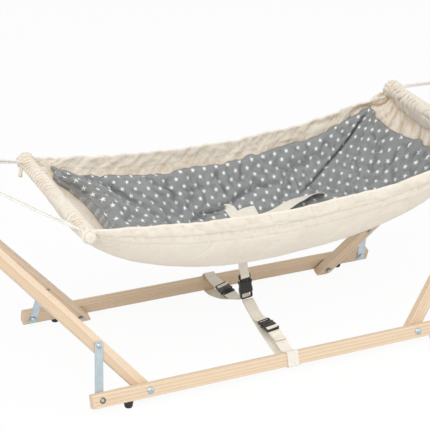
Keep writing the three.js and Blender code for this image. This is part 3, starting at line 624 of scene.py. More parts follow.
def starMaterial(name, look=starLook):
    material, tree, shader = newMaterial(name, Roughness=0.95, Sheen_Weight=0.04, Sheen_Roughness=0.5)
    place, along, across = ownLength(tree)
    weave = weaveHeight(tree, along, across, 0.0006)
    threads = noiseAt(tree, place, (40, 1300, 1), 2)
    cloud = noiseAt(tree, place, (8, 8, 1), 3)
    ground = ramp(tree, calc(tree, "MULTIPLY_ADD", threads, 0.5, times(tree, cloud, 0.5)),
                  (0.35, look["grey"]), (0.75, look["greyDark"]))
    colour = mixTones(tree, starShare(tree, along, across, look), ground, look["star"])
    # painted shade deep in the liner's folds
    colour = paintFoldShade(tree, colour, 0.75, look["valley"])
    tree.links.new(colour, shader.inputs["Base Color"])
    creased = noiseAt(tree, place, (60, 60, 1), 4, 0.6)
    bumpOn(tree, shader, (creased, 0.3, 0.0012), (threads, 0.25, 0.0002), (weave, 0.2, 0.00015))
    return material


# cotton webbing and white cord
def webbingMaterial(name):
    material, tree, shader = newMaterial(name, Roughness=0.9, Sheen_Weight=0.2)
    place, along, across = ownLength(tree)
    ribs = calc(tree, "ABSOLUTE", calc(tree, "SINE", times(tree, across, math.pi / 0.0019)))
    slant = calc(tree, "ADD", times(tree, calc(tree, "PINGPONG", across, 0.0038), 1.0), along)
    picks = calc(tree, "ABSOLUTE", calc(tree, "SINE", times(tree, slant, math.pi / 0.0011)))
    height = calc(tree, "MULTIPLY_ADD", ribs, 0.6, times(tree, picks, 0.4))
    cloud = noiseAt(tree, place, (60, 200, 1), 3)
    share = calc(tree, "MULTIPLY_ADD", cloud, 0.6,
                 times(tree, calc(tree, "SUBTRACT", 1.0, height), 0.4))
    colour = ramp(tree, share, (0.3, tone(241, 236, 225)), (0.75, tone(221, 211, 194)))
    tree.links.new(colour, shader.inputs["Base Color"])
    bumpOn(tree, shader, (height, 0.5, 0.0003), (cloud, 0.2, 0.0004))
    return material


def cordMaterial(name, pale, deep):
    material, tree, shader = newMaterial(name, Roughness=0.85, Sheen_Weight=0.2)
    point = objectPoint(tree)
    fuzz = noiseAt(tree, point, (900, 900, 900), 3)
    cloud = noiseAt(tree, point, (90, 90, 90), 2)
    tree.links.new(ramp(tree, calc(tree, "MULTIPLY_ADD", fuzz, 0.5, times(tree, cloud, 0.5)),
                        (0.35, pale), (0.7, deep)), shader.inputs["Base Color"])
    bumpOn(tree, shader, (fuzz, 0.4, 0.0003))
    return material


canvas = canvasMaterial("canvas")
starCloth = starMaterial("starCloth")
webbing = webbingMaterial("webbing")
ropeWhite = cordMaterial("ropeWhite", tone(243, 241, 236), tone(226, 222, 214))
threadCream = cordMaterial("threadCream", tone(226, 214, 196), tone(206, 192, 170))
greyPipe = cordMaterial("greyPipe", tone(146, 148, 148), tone(128, 131, 131))
blackRubber = blackMaterial("blackRubber", tone(38, 36, 35), 0.78, 900)
blackPlastic = blackMaterial("blackPlastic", tone(34, 32, 31), 0.36, 2600)
zinc = zincMaterial("zinc")
darkZinc = zincMaterial("zincDark", look=darkZincLook)
print("materials made")


# Geometry Nodes trees: a laid cord and a row of stitches
def newTree(name, inputs):
    tree = bpy.data.node_groups.new(name, "GeometryNodeTree")
    tree.interface.new_socket("Geometry", in_out="INPUT", socket_type="NodeSocketGeometry")
    for label, kind, value in inputs:
        made = tree.interface.new_socket(label, in_out="INPUT", socket_type="NodeSocket" + kind)
        if value is not None:
            made.default_value = value
    tree.interface.new_socket("Geometry", in_out="OUTPUT", socket_type="NodeSocketGeometry")
    return tree, tree.nodes.new("NodeGroupInput"), tree.nodes.new("NodeGroupOutput")


def endTree(tree, given, result, last):
    real = geo(tree, "GeometryNodeRealizeInstances", {"Geometry": last.outputs[0]})
    smooth = geo(tree, "GeometryNodeSetShadeSmooth", {"Geometry": real.outputs[0]})
    painted = geo(tree, "GeometryNodeSetMaterial",
                  {"Geometry": smooth.outputs[0], "Material": given.outputs["Material"]})
    tree.links.new(painted.outputs[0], result.inputs[0])
    return tree


def laidCordTree(strands=3):
    # strands twisted about a line, like the lay of a rope
    tree, given, result = newTree(
        "laidCord",
        [("Radius", "Float", 0.0023), ("Turns per metre", "Float", 90.0), ("Step", "Float", 0.0012),
         ("Material", "Material", None)],
    )
    line = geo(tree, "GeometryNodeMeshToCurve", {"Mesh": given.outputs["Geometry"]})
    even = geo(tree, "GeometryNodeResampleCurve", {"Curve": line.outputs[0]})
    if "Mode" in even.inputs:
        even.inputs["Mode"].default_value = "Length"
    else:
        even.mode = "LENGTH"
    tree.links.new(given.outputs["Step"], even.inputs["Length"])
    along = geo(tree, "GeometryNodeSplineParameter").outputs["Length"]
    tangent = geo(tree, "GeometryNodeInputTangent").outputs[0]
    normal = geo(tree, "GeometryNodeInputNormal").outputs[0]
    other = geo(tree, "ShaderNodeVectorMath", {0: tangent, 1: normal}, operation="CROSS_PRODUCT").outputs[0]
    turns = times(tree, along, given.outputs["Turns per metre"])
    offset = times(tree, given.outputs["Radius"], 0.38)
    thick = times(tree, given.outputs["Radius"], 0.68)
    profile = geo(tree, "GeometryNodeCurvePrimitiveCircle", {"Resolution": 7})
    tree.links.new(thick, profile.inputs["Radius"])
    together = geo(tree, "GeometryNodeJoinGeometry")
    for k in range(strands):
        angle = times(tree, calc(tree, "ADD", turns, k / strands), 2 * math.pi)
        parts = []
        for wave, direction in (("COSINE", normal), ("SINE", other)):
            size = times(tree, calc(tree, wave, angle), offset)
            parts.append(geo(tree, "ShaderNodeVectorMath", {0: direction, "Scale": size},
                             operation="SCALE").outputs[0])
        shift = geo(tree, "ShaderNodeVectorMath", {0: parts[0], 1: parts[1]}, operation="ADD").outputs[0]
        moved = geo(tree, "GeometryNodeSetPosition", {"Geometry": even.outputs[0], "Offset": shift})
        body = geo(tree, "GeometryNodeCurveToMesh",
                   {"Curve": moved.outputs[0], "Profile Curve": profile.outputs[0], "Fill Caps": True})
        tree.links.new(body.outputs[0], together.inputs[0])
    return endTree(tree, given, result, together)


def stitchTree():
    tree, given, result = newTree(
        "stitches",
        [("Spacing", "Float", 0.0042), ("Stitch length", "Float", 0.003),
         ("Thread radius", "Float", 0.0004),
         ("Material", "Material", None), ("Seed", "Int", 3)],
    )
    line = geo(tree, "GeometryNodeMeshToCurve", {"Mesh": given.outputs["Geometry"]})
    points = geo(tree, "GeometryNodeCurveToPoints",
                 {"Curve": line.outputs[0], "Length": given.outputs["Spacing"]}, mode="LENGTH")
    half = times(tree, given.outputs["Stitch length"], 0.5)
    size = geo(tree, "ShaderNodeCombineXYZ",
               {0: given.outputs["Thread radius"], 1: given.outputs["Thread radius"], 2: half}).outputs[0]
    wobble = geo(tree, "FunctionNodeRandomValue", {"Seed": given.outputs["Seed"]}, data_type="FLOAT")
    wobble.inputs[2].default_value, wobble.inputs[3].default_value = 0.86, 1.08
    size = geo(tree, "ShaderNodeVectorMath", {0: size, "Scale": wobble.outputs[1]},
               operation="SCALE").outputs[0]
    bead = geo(tree, "GeometryNodeMeshIcoSphere", {"Radius": 1.0, "Subdivisions": 1})
    rows = geo(tree, "GeometryNodeInstanceOnPoints", {
        "Points": points.outputs["Points"], "Instance": bead.outputs[0],
        "Rotation": points.outputs["Rotation"], "Scale": size,
    })
    return endTree(tree, given, result, rows)


def followLines(name, tree, lines, values):
    # the tree's mesh along one or more lines of points
    points, edges = [], []
    for line in lines:
        first = len(points)
        points += [tuple(p) for p in line]
        edges += [(first + i, first + i + 1) for i in range(len(line) - 1)]
    mesh = bpy.data.meshes.new(name)
    mesh.from_pydata(points, edges, [])
    piece = newObject(name, mesh)
    modifier = piece.modifiers.new("nodes", "NODES")
    modifier.node_group = tree
    for item in tree.interface.items_tree:
        if item.item_type == "SOCKET" and item.in_out == "INPUT" and item.name in values:
            modifier[item.identifier] = values[item.name]
    return plainMesh(piece)


laidCord, stitches = laidCordTree(), stitchTree()


# cloth simulation of one sheet, given and returned as a grid of points
def letWrinkle(name, points, held, growth, pressure=0.0, frames=20, cap=0.01, around=False, bend=0.4,
               seed=1, loose=None, flip=False):
    # the cloth is cut larger than its place by the growth, so it buckles between the held points;
    # loose says where it is cut largest, 1, and where it fits, 0
    rows, columns = points.shape[:2]
    rng = np.random.default_rng(seed)
    faces = gridFaces(rows, columns, aroundColumns=around, flip=flip)
    sheet = addPiece("sim_" + name, points + rng.normal(0, 0.00025, points.shape) * ~held[..., None], faces)
    group = sheet.vertex_groups.new(name="held")
    group.add([int(i) for i in np.flatnonzero(held.ravel())], 1.0, "REPLACE")
    cloth = sheet.modifiers.new("cloth", "CLOTH")
    settings = cloth.settings
    settings.quality = 5
    settings.mass = 0.12
    settings.tension_stiffness = settings.compression_stiffness = 18
    settings.shear_stiffness = 6
    settings.bending_stiffness = bend
    settings.tension_damping = settings.compression_damping = 12
    settings.air_damping = 6
    settings.vertex_group_mass = "held"
    settings.shrink_min = settings.shrink_max = -growth
    if loose is not None:
        fitted = sheet.vertex_groups.new(name="fitted")
        for level in range(11):
            chosen = np.flatnonzero(np.round((1 - loose.ravel()) * 10) == level)
            fitted.add([int(i) for i in chosen], level / 10, "REPLACE")
        settings.vertex_group_shrink = "fitted"
        settings.shrink_max = 0.0
    settings.effector_weights.gravity = 0
    if pressure:
        settings.use_pressure = True
        settings.uniform_pressure_force = pressure
    cloth.collision_settings.use_collision = False
    cloth.point_cache.frame_start, cloth.point_cache.frame_end = 1, frames
    for number in range(1, frames + 1):
        scene.frame_set(number)
    graph = bpy.context.evaluated_depsgraph_get()
    where = meshValues(sheet.evaluated_get(graph).data.vertices, "co", 3)
    moved = where.reshape(points.shape) - points
    bpy.data.objects.remove(sheet)
    scene.frame_set(1)
    size = np.linalg.norm(moved, axis=-1, keepdims=True)
    moved = np.nan_to_num(moved) * (cap * np.tanh(size / cap) / np.maximum(size, 1e-9))
    print(name, "simulated, moved up to", round(float(size.max()) * 1000, 1), "mm")
    return moved


def sampleGrid(field, u, v, aroundColumns=False):
    # a smooth reading of a grid of vectors; u and v run from 0 to 1 over its rows and columns
    rows, columns = field.shape[:2]
    u, v = np.broadcast_arrays(np.asarray(u, float), np.asarray(v, float))
    a = np.clip(u, 0, 1) * (rows - 1)
    b = v * columns if aroundColumns else np.clip(v, 0, 1) * (columns - 1)

    def weights(share):
        return [
            -0.5 * share + share**2 - 0.5 * share**3,
            1 - 2.5 * share**2 + 1.5 * share**3,
            0.5 * share + 2 * share**2 - 1.5 * share**3,
            -0.5 * share**2 + 0.5 * share**3,
        ]

    i, j = np.floor(a).astype(int), np.floor(b).astype(int)
    total = 0
    for di, wi in enumerate(weights(a - i)):
        row = np.clip(i + di - 1, 0, rows - 1)
        for dj, wj in enumerate(weights(b - j)):
            column = (j + dj - 1) % columns if aroundColumns else np.clip(j + dj - 1, 0, columns - 1)
            total = total + field[row, column] * (wi * wj)[..., None]
    return total


# the hammock's shape. s runs from the left bar to the right one, t from the front rim to the rear one
trough = {
    "leftX": -0.487, "rightX": 0.537, "leftZ": 0.439, "rightZ": 0.497,
    "halfWidth": 0.216, "rimRise": 0.006, "rimSag": 0.0615, "rimMiddle": 0.53, "rimRoll": math.radians(2.3),
    "depth": 0.197, "deepest": 0.48, "girth": 0.56,
}
troughLength = trough["rightX"] - trough["leftX"]
barRoll = math.radians(4.6)
barDirection = np.array([0, math.cos(barRoll), math.sin(barRoll)])


def sagShare(s, middle, leftPower, rightPower):
    away = np.where(s < middle, 1 - s / middle, (s - middle) / (1 - middle))
    return 1 - np.clip(away, 0, 1) ** np.where(s < middle, leftPower, rightPower)


def troughPoint(s, t, shape=trough):
    s, t = np.broadcast_arrays(np.asarray(s, float), np.asarray(t, float))
    y = -shape["halfWidth"] * np.cos(math.pi * t)
    bar = shape["leftZ"] + (shape["rightZ"] - shape["leftZ"]) * s
    rim = bar + shape["rimRise"] - shape["rimSag"] * sagShare(s, shape["rimMiddle"], 1.6, 3.4)
    share = sagShare(s, shape["deepest"], 2.4, 2.8)
    depth = shape["depth"] * share ** np.where(s < shape["deepest"], 0.46, 0.32)
    z = rim + y * math.tan(shape["rimRoll"]) - depth * np.sin(math.pi * t)
    x = shape["leftX"] + (shape["rightX"] - shape["leftX"]) * s
    return np.stack([x, y, z], -1)


def troughNormal(s, t):
    # outwards, which is down at the belly
    step = 0.004
    s, t = np.broadcast_arrays(np.asarray(s, float), np.asarray(t, float))
    here, across = np.clip(s, 2 * step, 1 - 2 * step), np.clip(t, step, 1 - step)
    along = troughPoint(here + step, across) - troughPoint(here - step, across)
    around = troughPoint(here, across + step) - troughPoint(here, across - step)
    normal = np.cross(around, along)
    return unit(normal)


def offTrough(s, t, distance):
    return troughPoint(s, t) + troughNormal(s, t) * np.asarray(distance, float)[..., None]


# cotton trough with its hems
clothSetup = {
    "thickness": 0.0013,
    "inside": -0.0024,
    "gathersLeft": (17, 0.0045, 0.050),
    "gathersRight": (25, 0.0240, 0.10),
    "hem": 0.0072,
    "hemWidth": 0.030,
    "seam": 0.095,
    "stepAlong": 0.0036,
    "growth": 0.07,
    "frames": 16,
    "cap": 0.0075,
    "hollows": ((5, 0.0018, 0.5), (26, 0.0060, 0.4)),
    # the flat length, close to that of the belly and of the rims
    "length": 1.13,
}


def foldLine(x):
    return 1 - np.abs(np.sin(math.pi * x)) ** 0.8


def clothDrape(s, t, setup=clothSetup):
    # how far gathers, creases and puckers push the cloth outwards
    length = troughLength
    x, arc = s * length, t * trough["girth"]
    fromFront, fromRear = arc, trough["girth"] - arc
    fromRim = np.minimum(fromFront, fromRear)
    out = np.zeros_like(x)
    for away, (count, depth, reach), seed in (
        (x, setup["gathersLeft"], 11),
        (length - x, setup["gathersRight"], 23),
    ):
        wander = 0.9 * softNoise(t * 7, away / 0.09, seed)
        fine = foldLine(t * count + wander)
        broad = foldLine(t * count / 2.4 + 0.7 * wander + 0.3)
        body = 0.6 + 0.4 * softNoise(t * 5, away / 0.2, seed + 1) + 0.25 * smoothStep((t - 0.6) / 0.3)
        body = body * smoothStep(away / 0.016)
        fine = 0.4 * fine * np.exp(-away / (reach * 0.4))
        out += depth * body * (fine + 0.85 * (broad - 0.35) * np.exp(-away / reach))
    # slanted creases of the drawn hem, deeper on the rear side
    for distance, depth, seed, lean in ((fromRear, 0.0021, 31, 0.8), (fromFront, 0.0016, 37, -0.5)):
        slant = x / 0.021 + lean * distance / 0.018
        band = np.exp(-((distance / 0.062) ** 2))
        thin = creases(slant * 0.6, distance / 0.045, seed + 1)
        out += depth * band * (softNoise(slant, distance / 0.03, seed) - 0.8 * thin)
    # soft creases all over, and long folds along the belly
    out += 0.0008 * softNoise(x / 0.06 + arc / 0.05, arc / 0.045, 41)
    out -= 0.0007 * creases(x / 0.09 + arc / 0.16, arc / 0.07 - x / 0.3, 43, 0.09)
    out += 0.0012 * softNoise(x / 0.22, arc / 0.035, 47) * smoothStep(fromRim / 0.12)
    # a seam runs along each side, and puckers its neighbourhood
    for distance, seed in ((fromFront, 53), (fromRear, 59)):
        gap = distance - setup["seam"] * trough["girth"]
        pucker = softNoise(x / 0.009, 0.5, seed)
        out += np.exp(-((gap / 0.009) ** 2)) * 0.0011 * pucker - 0.0010 * np.exp(-((gap / 0.0022) ** 2))
    return out


def hemBulge(distance, setup=clothSetup):
    # thickness that the rolled hem adds, with its stitch line at its lower edge
    inHem = np.clip(distance / setup["hemWidth"], 0, 1)
    return (setup["hem"] - setup["thickness"]) * np.sqrt(np.clip(1 - inHem**2, 0, 1)) * (inHem < 1)


def rimWave(s):
    # small ups and downs of the rims, stronger on the drawn rear one
    x = s * troughLength
    ends = np.exp(-s / 0.05) + np.exp(-(1 - s) / 0.07)
    rear = (0.0022 + 0.0022 * ends) * softNoise(x / 0.016, 0.2, 61) + 0.0024 * softNoise(x / 0.045, 0.7, 62)
    rear = rear - 0.012 * np.exp(-(((1 - s) / 0.055) ** 2))
    front = 0.0009 * softNoise(x / 0.03, 0.2, 63) + 0.0012 * softNoise(x / 0.09, 0.7, 64)
    return front, rear


def rimLift(s, fromFront, fromRear):
    # the wave of each rim fades out down its side and at the bars
    front, rear = rimWave(s)
    wave = front * np.exp(-fromFront / 0.02) + rear * np.exp(-fromRear / 0.03)
    return wave * smoothStep(np.minimum(s, 1 - s) / 0.02)


hemStitch = clothSetup["hemWidth"] / trough["girth"]


def buildTrough(setup=clothSetup):
    length, girth = troughLength, trough["girth"]
    alongSteps = np.unique(np.concatenate([
        np.linspace(0, 0.16, 70), np.linspace(0.16, 0.8, int(0.64 * length / setup["stepAlong"])),
        np.linspace(0.8, 1, 80),
    ]))
    near = np.array([0, 0.001, 0.003, 0.006, 0.010, 0.014, 0.018, 0.022, 0.026, 0.0288, 0.030, 0.032, 0.036,
                     0.041, 0.046, 0.0495, 0.0515, 0.0532, 0.055, 0.057, 0.061, 0.066])
    middle = np.linspace(0.071, girth - 0.071, 84)
    arcs = np.concatenate([near, middle, (girth - near)[::-1]])
    ts = arcs / girth
    s, t = crossed(alongSteps, ts)
    arc = t * girth
    fromRim = np.minimum(arc, girth - arc)
    drape = clothDrape(s, t)
    hem = hemBulge(fromRim)
    lift = rimLift(s, arc, girth - arc)
    base = setup["inside"] + 0.0004
    inner = offTrough(s, t, base + drape - 0.25 * hem)
    outer = offTrough(s, t, base + setup["thickness"] + drape + 0.75 * hem)
    wrinkle = sampleGrid(troughWrinkles, s, t)
    inner, outer = inner + wrinkle, outer + wrinkle
    inner[..., 2] += lift
    outer[..., 2] += lift
    # one closed loop for each s: up the inside, over the rear rim, back outside, over the front rim
    rounds = 6
    loops = [inner]
    for edge in (-1, 0):
        a, b = (inner[:, -1], outer[:, -1]) if edge else (outer[:, 0], inner[:, 0])
        centre, half = (a + b) / 2, (a - b) / 2
        upwards = np.array([0, 0, 1.0]) * np.linalg.norm(half, axis=1)[:, None]
        turns = [math.pi * k / (rounds + 1) for k in range(1, rounds + 1)]
        arch = [centre + half * math.cos(turn) + upwards * math.sin(turn) for turn in turns]
        loops.append(np.stack(arch, 1))
        if edge:
            loops.append(outer[:, ::-1])
    points = np.concatenate(loops, 1)
    rows, columns = points.shape[:2]
    acrossUv = np.concatenate([
        arcs, girth + np.linspace(0.001, 0.006, rounds),
        girth + 0.01 + arcs, 2 * girth + np.linspace(0.011, 0.016, rounds),
    ])
    uv = np.stack(np.broadcast_arrays((alongSteps * length * 1.1)[:, None], acrossUv[None, :]), -1)
    faces = gridFaces(rows, columns, aroundColumns=True)
    count = len(arcs)
    for row, flip in ((0, False), (rows - 1, True)):
        # close the two ends between the inside and the outside
        first = row * columns
        outside = [first + count + rounds + count - 1 - j for j in range(count)]
        inside = [first + j for j in range(count)]
        for j in range(count - 1):
            face = (inside[j], outside[j], outside[j + 1], inside[j + 1])
            faces.append(face[::-1] if flip else face)
        for loop in ([first + count - 1 + k for k in range(rounds + 2)],
                     [first + 2 * count + rounds - 1 + k for k in range(rounds + 1)] + [first]):
            faces.append(tuple(loop) if flip else tuple(loop[::-1]))
    return points.reshape(-1, 3), faces, uv.reshape(-1, 2)


def seamLine(t, distance, sFrom=0.0, sTo=1.0, spacing=0.004):
    count = int((sTo - sFrom) * 1.1 / spacing)
    s = np.linspace(sFrom, sTo, count)
    tt = np.full_like(s, t)
    line = offTrough(s, tt, clothDrape(s, tt) + distance) + sampleGrid(troughWrinkles, s, tt)
    line[:, 2] += rimLift(s, t * trough["girth"], (1 - t) * trough["girth"])
    return line


def looseShare(s, t):
    # the rear side and the right end are drawn up, while the front and the belly are filled out smoothly
    rear = 0.62 * smoothStep((t - 0.86) / 0.06)
    right = 0.6 * smoothStep((s - 0.86) / 0.08)
    left = 0.6 * smoothStep((0.10 - s) / 0.06)
    front = 0.4 * smoothStep((0.10 - t) / 0.04)
    return np.clip(np.maximum.reduce([rear, right, left, front, np.full_like(rear, 0.12)]), 0, 1)


def wrinkleTrough(setup=clothSetup):
    # one sheet, held along both bars, both rims and both seams
    rows, columns = 250, 130
    s, t = crossed(np.linspace(0, 1, rows), np.linspace(0, 1, columns))
    points = offTrough(s, t, setup["inside"] + clothDrape(s, t))
    held = (s < 0.004) | (s > 0.996)
    column = np.arange(columns)[None, :]
    for share in (0.0, hemStitch, setup["seam"], 1 - setup["seam"], 1 - hemStitch, 1.0):
        held |= column == int(round(share * (columns - 1)))
    loose = looseShare(s, t)
    moved = letWrinkle("trough", points, held, setup["growth"], frames=setup["frames"], cap=setup["cap"],
                       bend=0.25, loose=loose)
    return moved * (0.25 + 0.75 * loose)[..., None]


# sleeves round the spreader bars
sleeveSetup = {
    "left": {"x": -0.487, "z": 0.439, "front": 0.0190, "rear": 0.0175, "ruche": (0.0044, 0.0058),
             "puff": (0.0185, 0.0215), "slant": 0.7, "seed": 5,
             "rings": ([0, 0.07, 0.13, 0.24, 0.32, 0.48, 0.60, 1],
                       [0.4, 0.5, 0.9, 0.8, 0.15, 0.15, 1.0, 1.0]),
             "way": math.radians(-72), "drop": ([0, 0.12, 0.28, 0.5, 0.65, 1], [0, 0.5, 0.9, 0.45, 0.1, 0]),
             "sag": (0.001, 0.001), "pleats": 0.0020},
    "right": {"x": 0.537, "z": 0.497, "front": 0.0190, "rear": 0.0205, "ruche": (0.0055, 0.0070),
              "puff": (0.0205, 0.0245), "slant": 0.4, "seed": 8,
              "rings": ([0, 0.2, 0.35, 0.55, 0.72, 1], [0.8, 0.4, 0.2, 0.3, 1.0, 1.0]),
              "way": math.radians(-100), "drop": ([0, 0.1, 0.5, 0.85, 1], [0, 1.0, 1.1, 0.7, 0]),
              "sag": (0.004, 0.0085), "pleats": 0.0034},
    "halfLength": 0.216,
    "bar": 0.0126,
    "noose": 0.186,
    "nooseRadius": 0.0178,
    "hollows": ((6, 0.0010, 0.55), (20, 0.0024, 0.3)),
}


def ruched(share, sharpness=0.6):
    # round folds with sharp valleys between them, from 0 to 1
    return np.abs(np.sin(math.pi * share)) ** sharpness


def sleeveRadius(y, phi, one, setup=sleeveSetup):
    half, noose, seed = setup["halfLength"], setup["noose"], one["seed"]
    share = (y + half) / (2 * half)
    radius = one["front"] + (one["rear"] - one["front"]) * share
    # a puff of cloth past each noose, and a waist under the noose
    end, past = half - np.abs(y), np.abs(y) - noose
    puff = np.where(y < 0, one["puff"][0], one["puff"][1]) - 0.006 * smoothStep(1 - end / 0.006)
    waist = setup["nooseRadius"]
    radius = np.where(past > 0, waist + (puff - waist) * smoothStep(past / 0.013), radius)
    radius = radius + (waist - radius) * np.exp(-((past / 0.0065) ** 2))
    # radius is the height of the folds' crests, and the valleys between them go down towards the bar
    turn = phi / (2 * math.pi)
    drift = 0.6 * softNoise(y / 0.055, 2 + 1.1 * np.sin(phi), seed)
    drift = drift + 0.3 * softNoise(y / 0.022, 5 + 1.3 * np.cos(phi), seed + 1)
    wide = ruched(y / 0.0185 + one["slant"] * np.sin(phi + 0.6) + drift, 0.5)
    tight = ruched(y / 0.0122 + one["slant"] * 0.8 * np.sin(phi + 1.1) - drift + 0.3, 0.5)
    fork = smoothStep(0.5 + 1.5 * softNoise(y / 0.04, 3 + 1.4 * np.sin(phi + 0.9), seed + 7))
    rings = wide * (1 - fork) + tight * fork
    along = ruched(3 * turn + y / 0.10 + 0.8 * drift, 0.8)
    mix = np.interp(share, *one["rings"])
    folds = mix * rings + (1 - mix) * (0.5 * along + 0.35) - 1
    body = np.clip(0.85 + 0.9 * softNoise(y / 0.024, 3.1 + 1.5 * np.sin(phi + 0.4), seed + 20), 0.15, 1.6)
    size = one["ruche"][0] + (one["ruche"][1] - one["ruche"][0]) * share
    away = smoothStep(-past / 0.004)
    radius = radius + size * folds * body * (0.3 + 0.7 * away)
    # pleats drawn in towards the noose and the end of the bar
    pleats = ruched(4.5 * turn * 2 + 1.2 * softNoise(y / 0.02, 1.3 + np.sin(phi), seed + 3), 0.8)
    radius = radius + one["pleats"] * (pleats - 0.62) * smoothStep((past - 0.001) / 0.008)
    # the cloth hangs a little below the bar that holds it
    off = np.abs((phi - one["way"] + math.pi) % (2 * math.pi) - math.pi)
    radius = radius + (one["sag"][0] + (one["sag"][1] - one["sag"][0]) * share) * np.cos(off)
    radius = np.maximum(radius, setup["bar"] + 0.0006 + 0.0042 * np.exp(-((past / 0.006) ** 2)))
    # straight flanks from the bar down to the seam, shallower towards the bar's ends
    reach = 1 + np.interp(share, *one["drop"]) * smoothStep(-past / 0.030)
    opening = np.arccos(1 / reach)
    return radius / np.cos(np.maximum(opening - off, 0))


def buildSleeve(one, setup=sleeveSetup, rings=250, sides=84):
    half = setup["halfLength"]
    phi = 2 * math.pi * np.arange(sides) / sides
    ys = np.linspace(-half, half, rings)
    y, angle = crossed(ys, phi)
    upwards = np.array([0, -math.sin(barRoll), math.cos(barRoll)])
    centre = np.array([one["x"], 0, one["z"]])

    def placed(yy, radius):
        out = np.cos(angle[:1])[..., None] * np.array([1.0, 0, 0]) + np.sin(angle[:1])[..., None] * upwards
        return centre + np.asarray(yy)[..., None] * barDirection + np.asarray(radius)[..., None] * out

    surface = placed(y, sleeveRadius(y, angle, one))
    # gathered end caps, drawn in to the middle of the bar's end
    rows = [surface[i] for i in range(rings)]
    for end, edge in ((1, surface[-1].copy()), (-1, surface[0].copy())):
        middle = edge.mean(0)
        for share in (0.88, 0.74, 0.58, 0.42, 0.27, 0.14):
            crimp = 0.0016 * ruched(4.5 * phi / math.pi + 0.3) * share
            bulge = (0.0048 * math.sqrt(1 - share**2) + crimp)[:, None] * barDirection * end
            ring = middle + (edge - middle) * share + bulge
            rows.append(ring) if end > 0 else rows.insert(0, ring)
    points = np.concatenate(rows)
    count = len(rows)
    along, around = crossed(np.arange(count) * 0.0023 + 0.3, phi * 0.017 + 3)
    uv = np.stack([around, along], -1).reshape(-1, 2)
    faces = gridFaces(count, sides, aroundColumns=True, flip=True)
    tips = [points[:sides].mean(0) - barDirection * 0.0004, points[-sides:].mean(0) + barDirection * 0.0004]
    for row, flip, tip in ((0, False, count * sides), (count - 1, True, count * sides + 1)):
        for k in range(sides):
            face = (tip, row * sides + k, row * sides + (k + 1) % sides)
            faces.append(face[::-1] if flip else face)
    return np.concatenate([points, tips]), faces, np.concatenate([uv, [[3, 0.28], [3, 0.9]]])


troughWrinkles = wrinkleTrough()
points, faces, uv = buildTrough()
hammockCloth = addPiece("hammockCloth", points, faces, [canvas], uv)
evenOut(hammockCloth, clothAngle)
markFoldShade(hammockCloth, *clothSetup["hollows"])
settle(hammockCloth, "hammock", "hammock_cloth")

for word in ("left", "right"):
    points, faces, uv = buildSleeve(sleeveSetup[word])
    sleeve = addPiece("sleeve_" + word, points, faces, [canvas], uv)
    evenOut(sleeve, clothAngle)
    markFoldShade(sleeve, *sleeveSetup["hollows"])
    settle(sleeve, "hammock")

flapSetup = {"corner": (-0.0165, 0.190, 0.006), "width": 0.030, "drop": 0.036, "thickness": 0.0014,
             "hollows": ((8, 0.0012, 0.7),)}


def buildFlap(setup=flapSetup):
    # a loose corner of the sleeve, narrowing downwards, with two soft folds
    one = sleeveSetup["left"]
    share, across = crossed(np.linspace(0, 1, 26), np.linspace(-1, 1, 26))
    width = setup["width"] / 2 * (1 - 0.82 * share**1.5)
    along = setup["corner"][1] + across * width - 0.004 * share
    out = 0.0035 * np.cos(across * 4.2 + 0.6) * (0.4 + share) + 0.005 * share - 0.002 * across
    x = one["x"] + setup["corner"][0] - out
    z = one["z"] + setup["corner"][2] + along * math.tan(barRoll)
    z = z - setup["drop"] * share - 0.003 * across * share
    face = np.stack([x, along, z], -1)
    back = face + np.array([setup["thickness"], 0, 0])
    points = np.concatenate([face.reshape(-1, 3), back.reshape(-1, 3)])
    place = np.stack([share * 0.05 + 4, across * 0.02], -1).reshape(-1, 2)
    piece = addPiece("sleeveFlap_left", points, closedSheet(*share.shape), [canvas],
                     np.concatenate([place, place + [0.1, 0]]))
    markFoldShade(evenOut(piece, clothAngle), *flapSetup["hollows"])
    return settle(piece, "hammock")


buildFlap()
print("sleeves made")

seamSetup = {"spacing": 0.0043, "stitch": 0.0030, "thread": 0.00038}
seamLines = []
for t in (clothSetup["seam"], 1 - clothSetup["seam"]):
    seamLines.append(seamLine(t + 0.0035 * (1 if t < 0.5 else -1), -0.0006, 0.03, 0.97))
for t in (hemStitch, 1 - hemStitch):
    seamLines.append(seamLine(t, -0.0006, 0.03, 0.97))
    seamLines.append(seamLine(t, -0.0024, 0.03, 0.97))
clothStitches = followLines("clothStitches", stitches, seamLines, {
    "Spacing": seamSetup["spacing"], "Stitch length": seamSetup["stitch"],
    "Thread radius": seamSetup["thread"], "Material": threadCream,
})
settle(clothStitches, "hammock")
print("stitches made")

# padded liner, outlined and folded as it lies in the trough
linerSetup = {
    "gap": 0.0016,
    "thickness": 0.017,
    "edge": 0.0062,
    "stretch": 1.08,
    # the way along it and across it
    "long": 0.92,
    "wide": 0.47,
    "stepAlong": 0.0036,
    "front": 0.08,
    "left": ([0, 0.1, 0.3, 0.42, 0.5, 0.642, 0.708, 0.765, 0.80, 0.822, 0.840, 0.87, 0.917, 0.962, 1],
             [0.094, 0.098, 0.126, 0.150, 0.157, 0.147, 0.138, 0.120, 0.102, 0.088, 0.070, 0.064, 0.064,
              0.065, 0.064]),
    "right": ([0, 0.1, 0.3, 0.48, 0.62, 0.7, 0.82, 0.93, 1],
              [0.972, 0.975, 0.988, 0.99, 0.981, 0.969, 0.954, 0.939, 0.936]),
    "rear": ([0.06, 0.095, 0.122, 0.214, 0.306, 0.369, 0.4, 0.487, 0.564, 0.642, 0.761, 0.841, 0.926, 1],
             [0.955, 0.925, 0.906, 0.912, 0.907, 0.904, 0.918, 0.911, 0.920, 0.925, 0.929, 0.947, 0.958,
              0.958]),
    "growth": 0.055,
    "frames": 16,
    "pressure": 1.2,
    "cap": 0.0055,
    "pipe": 0.0015,
    "hollows": ((8, 0.0024, 0.5), (24, 0.0075, 0.35)),
}
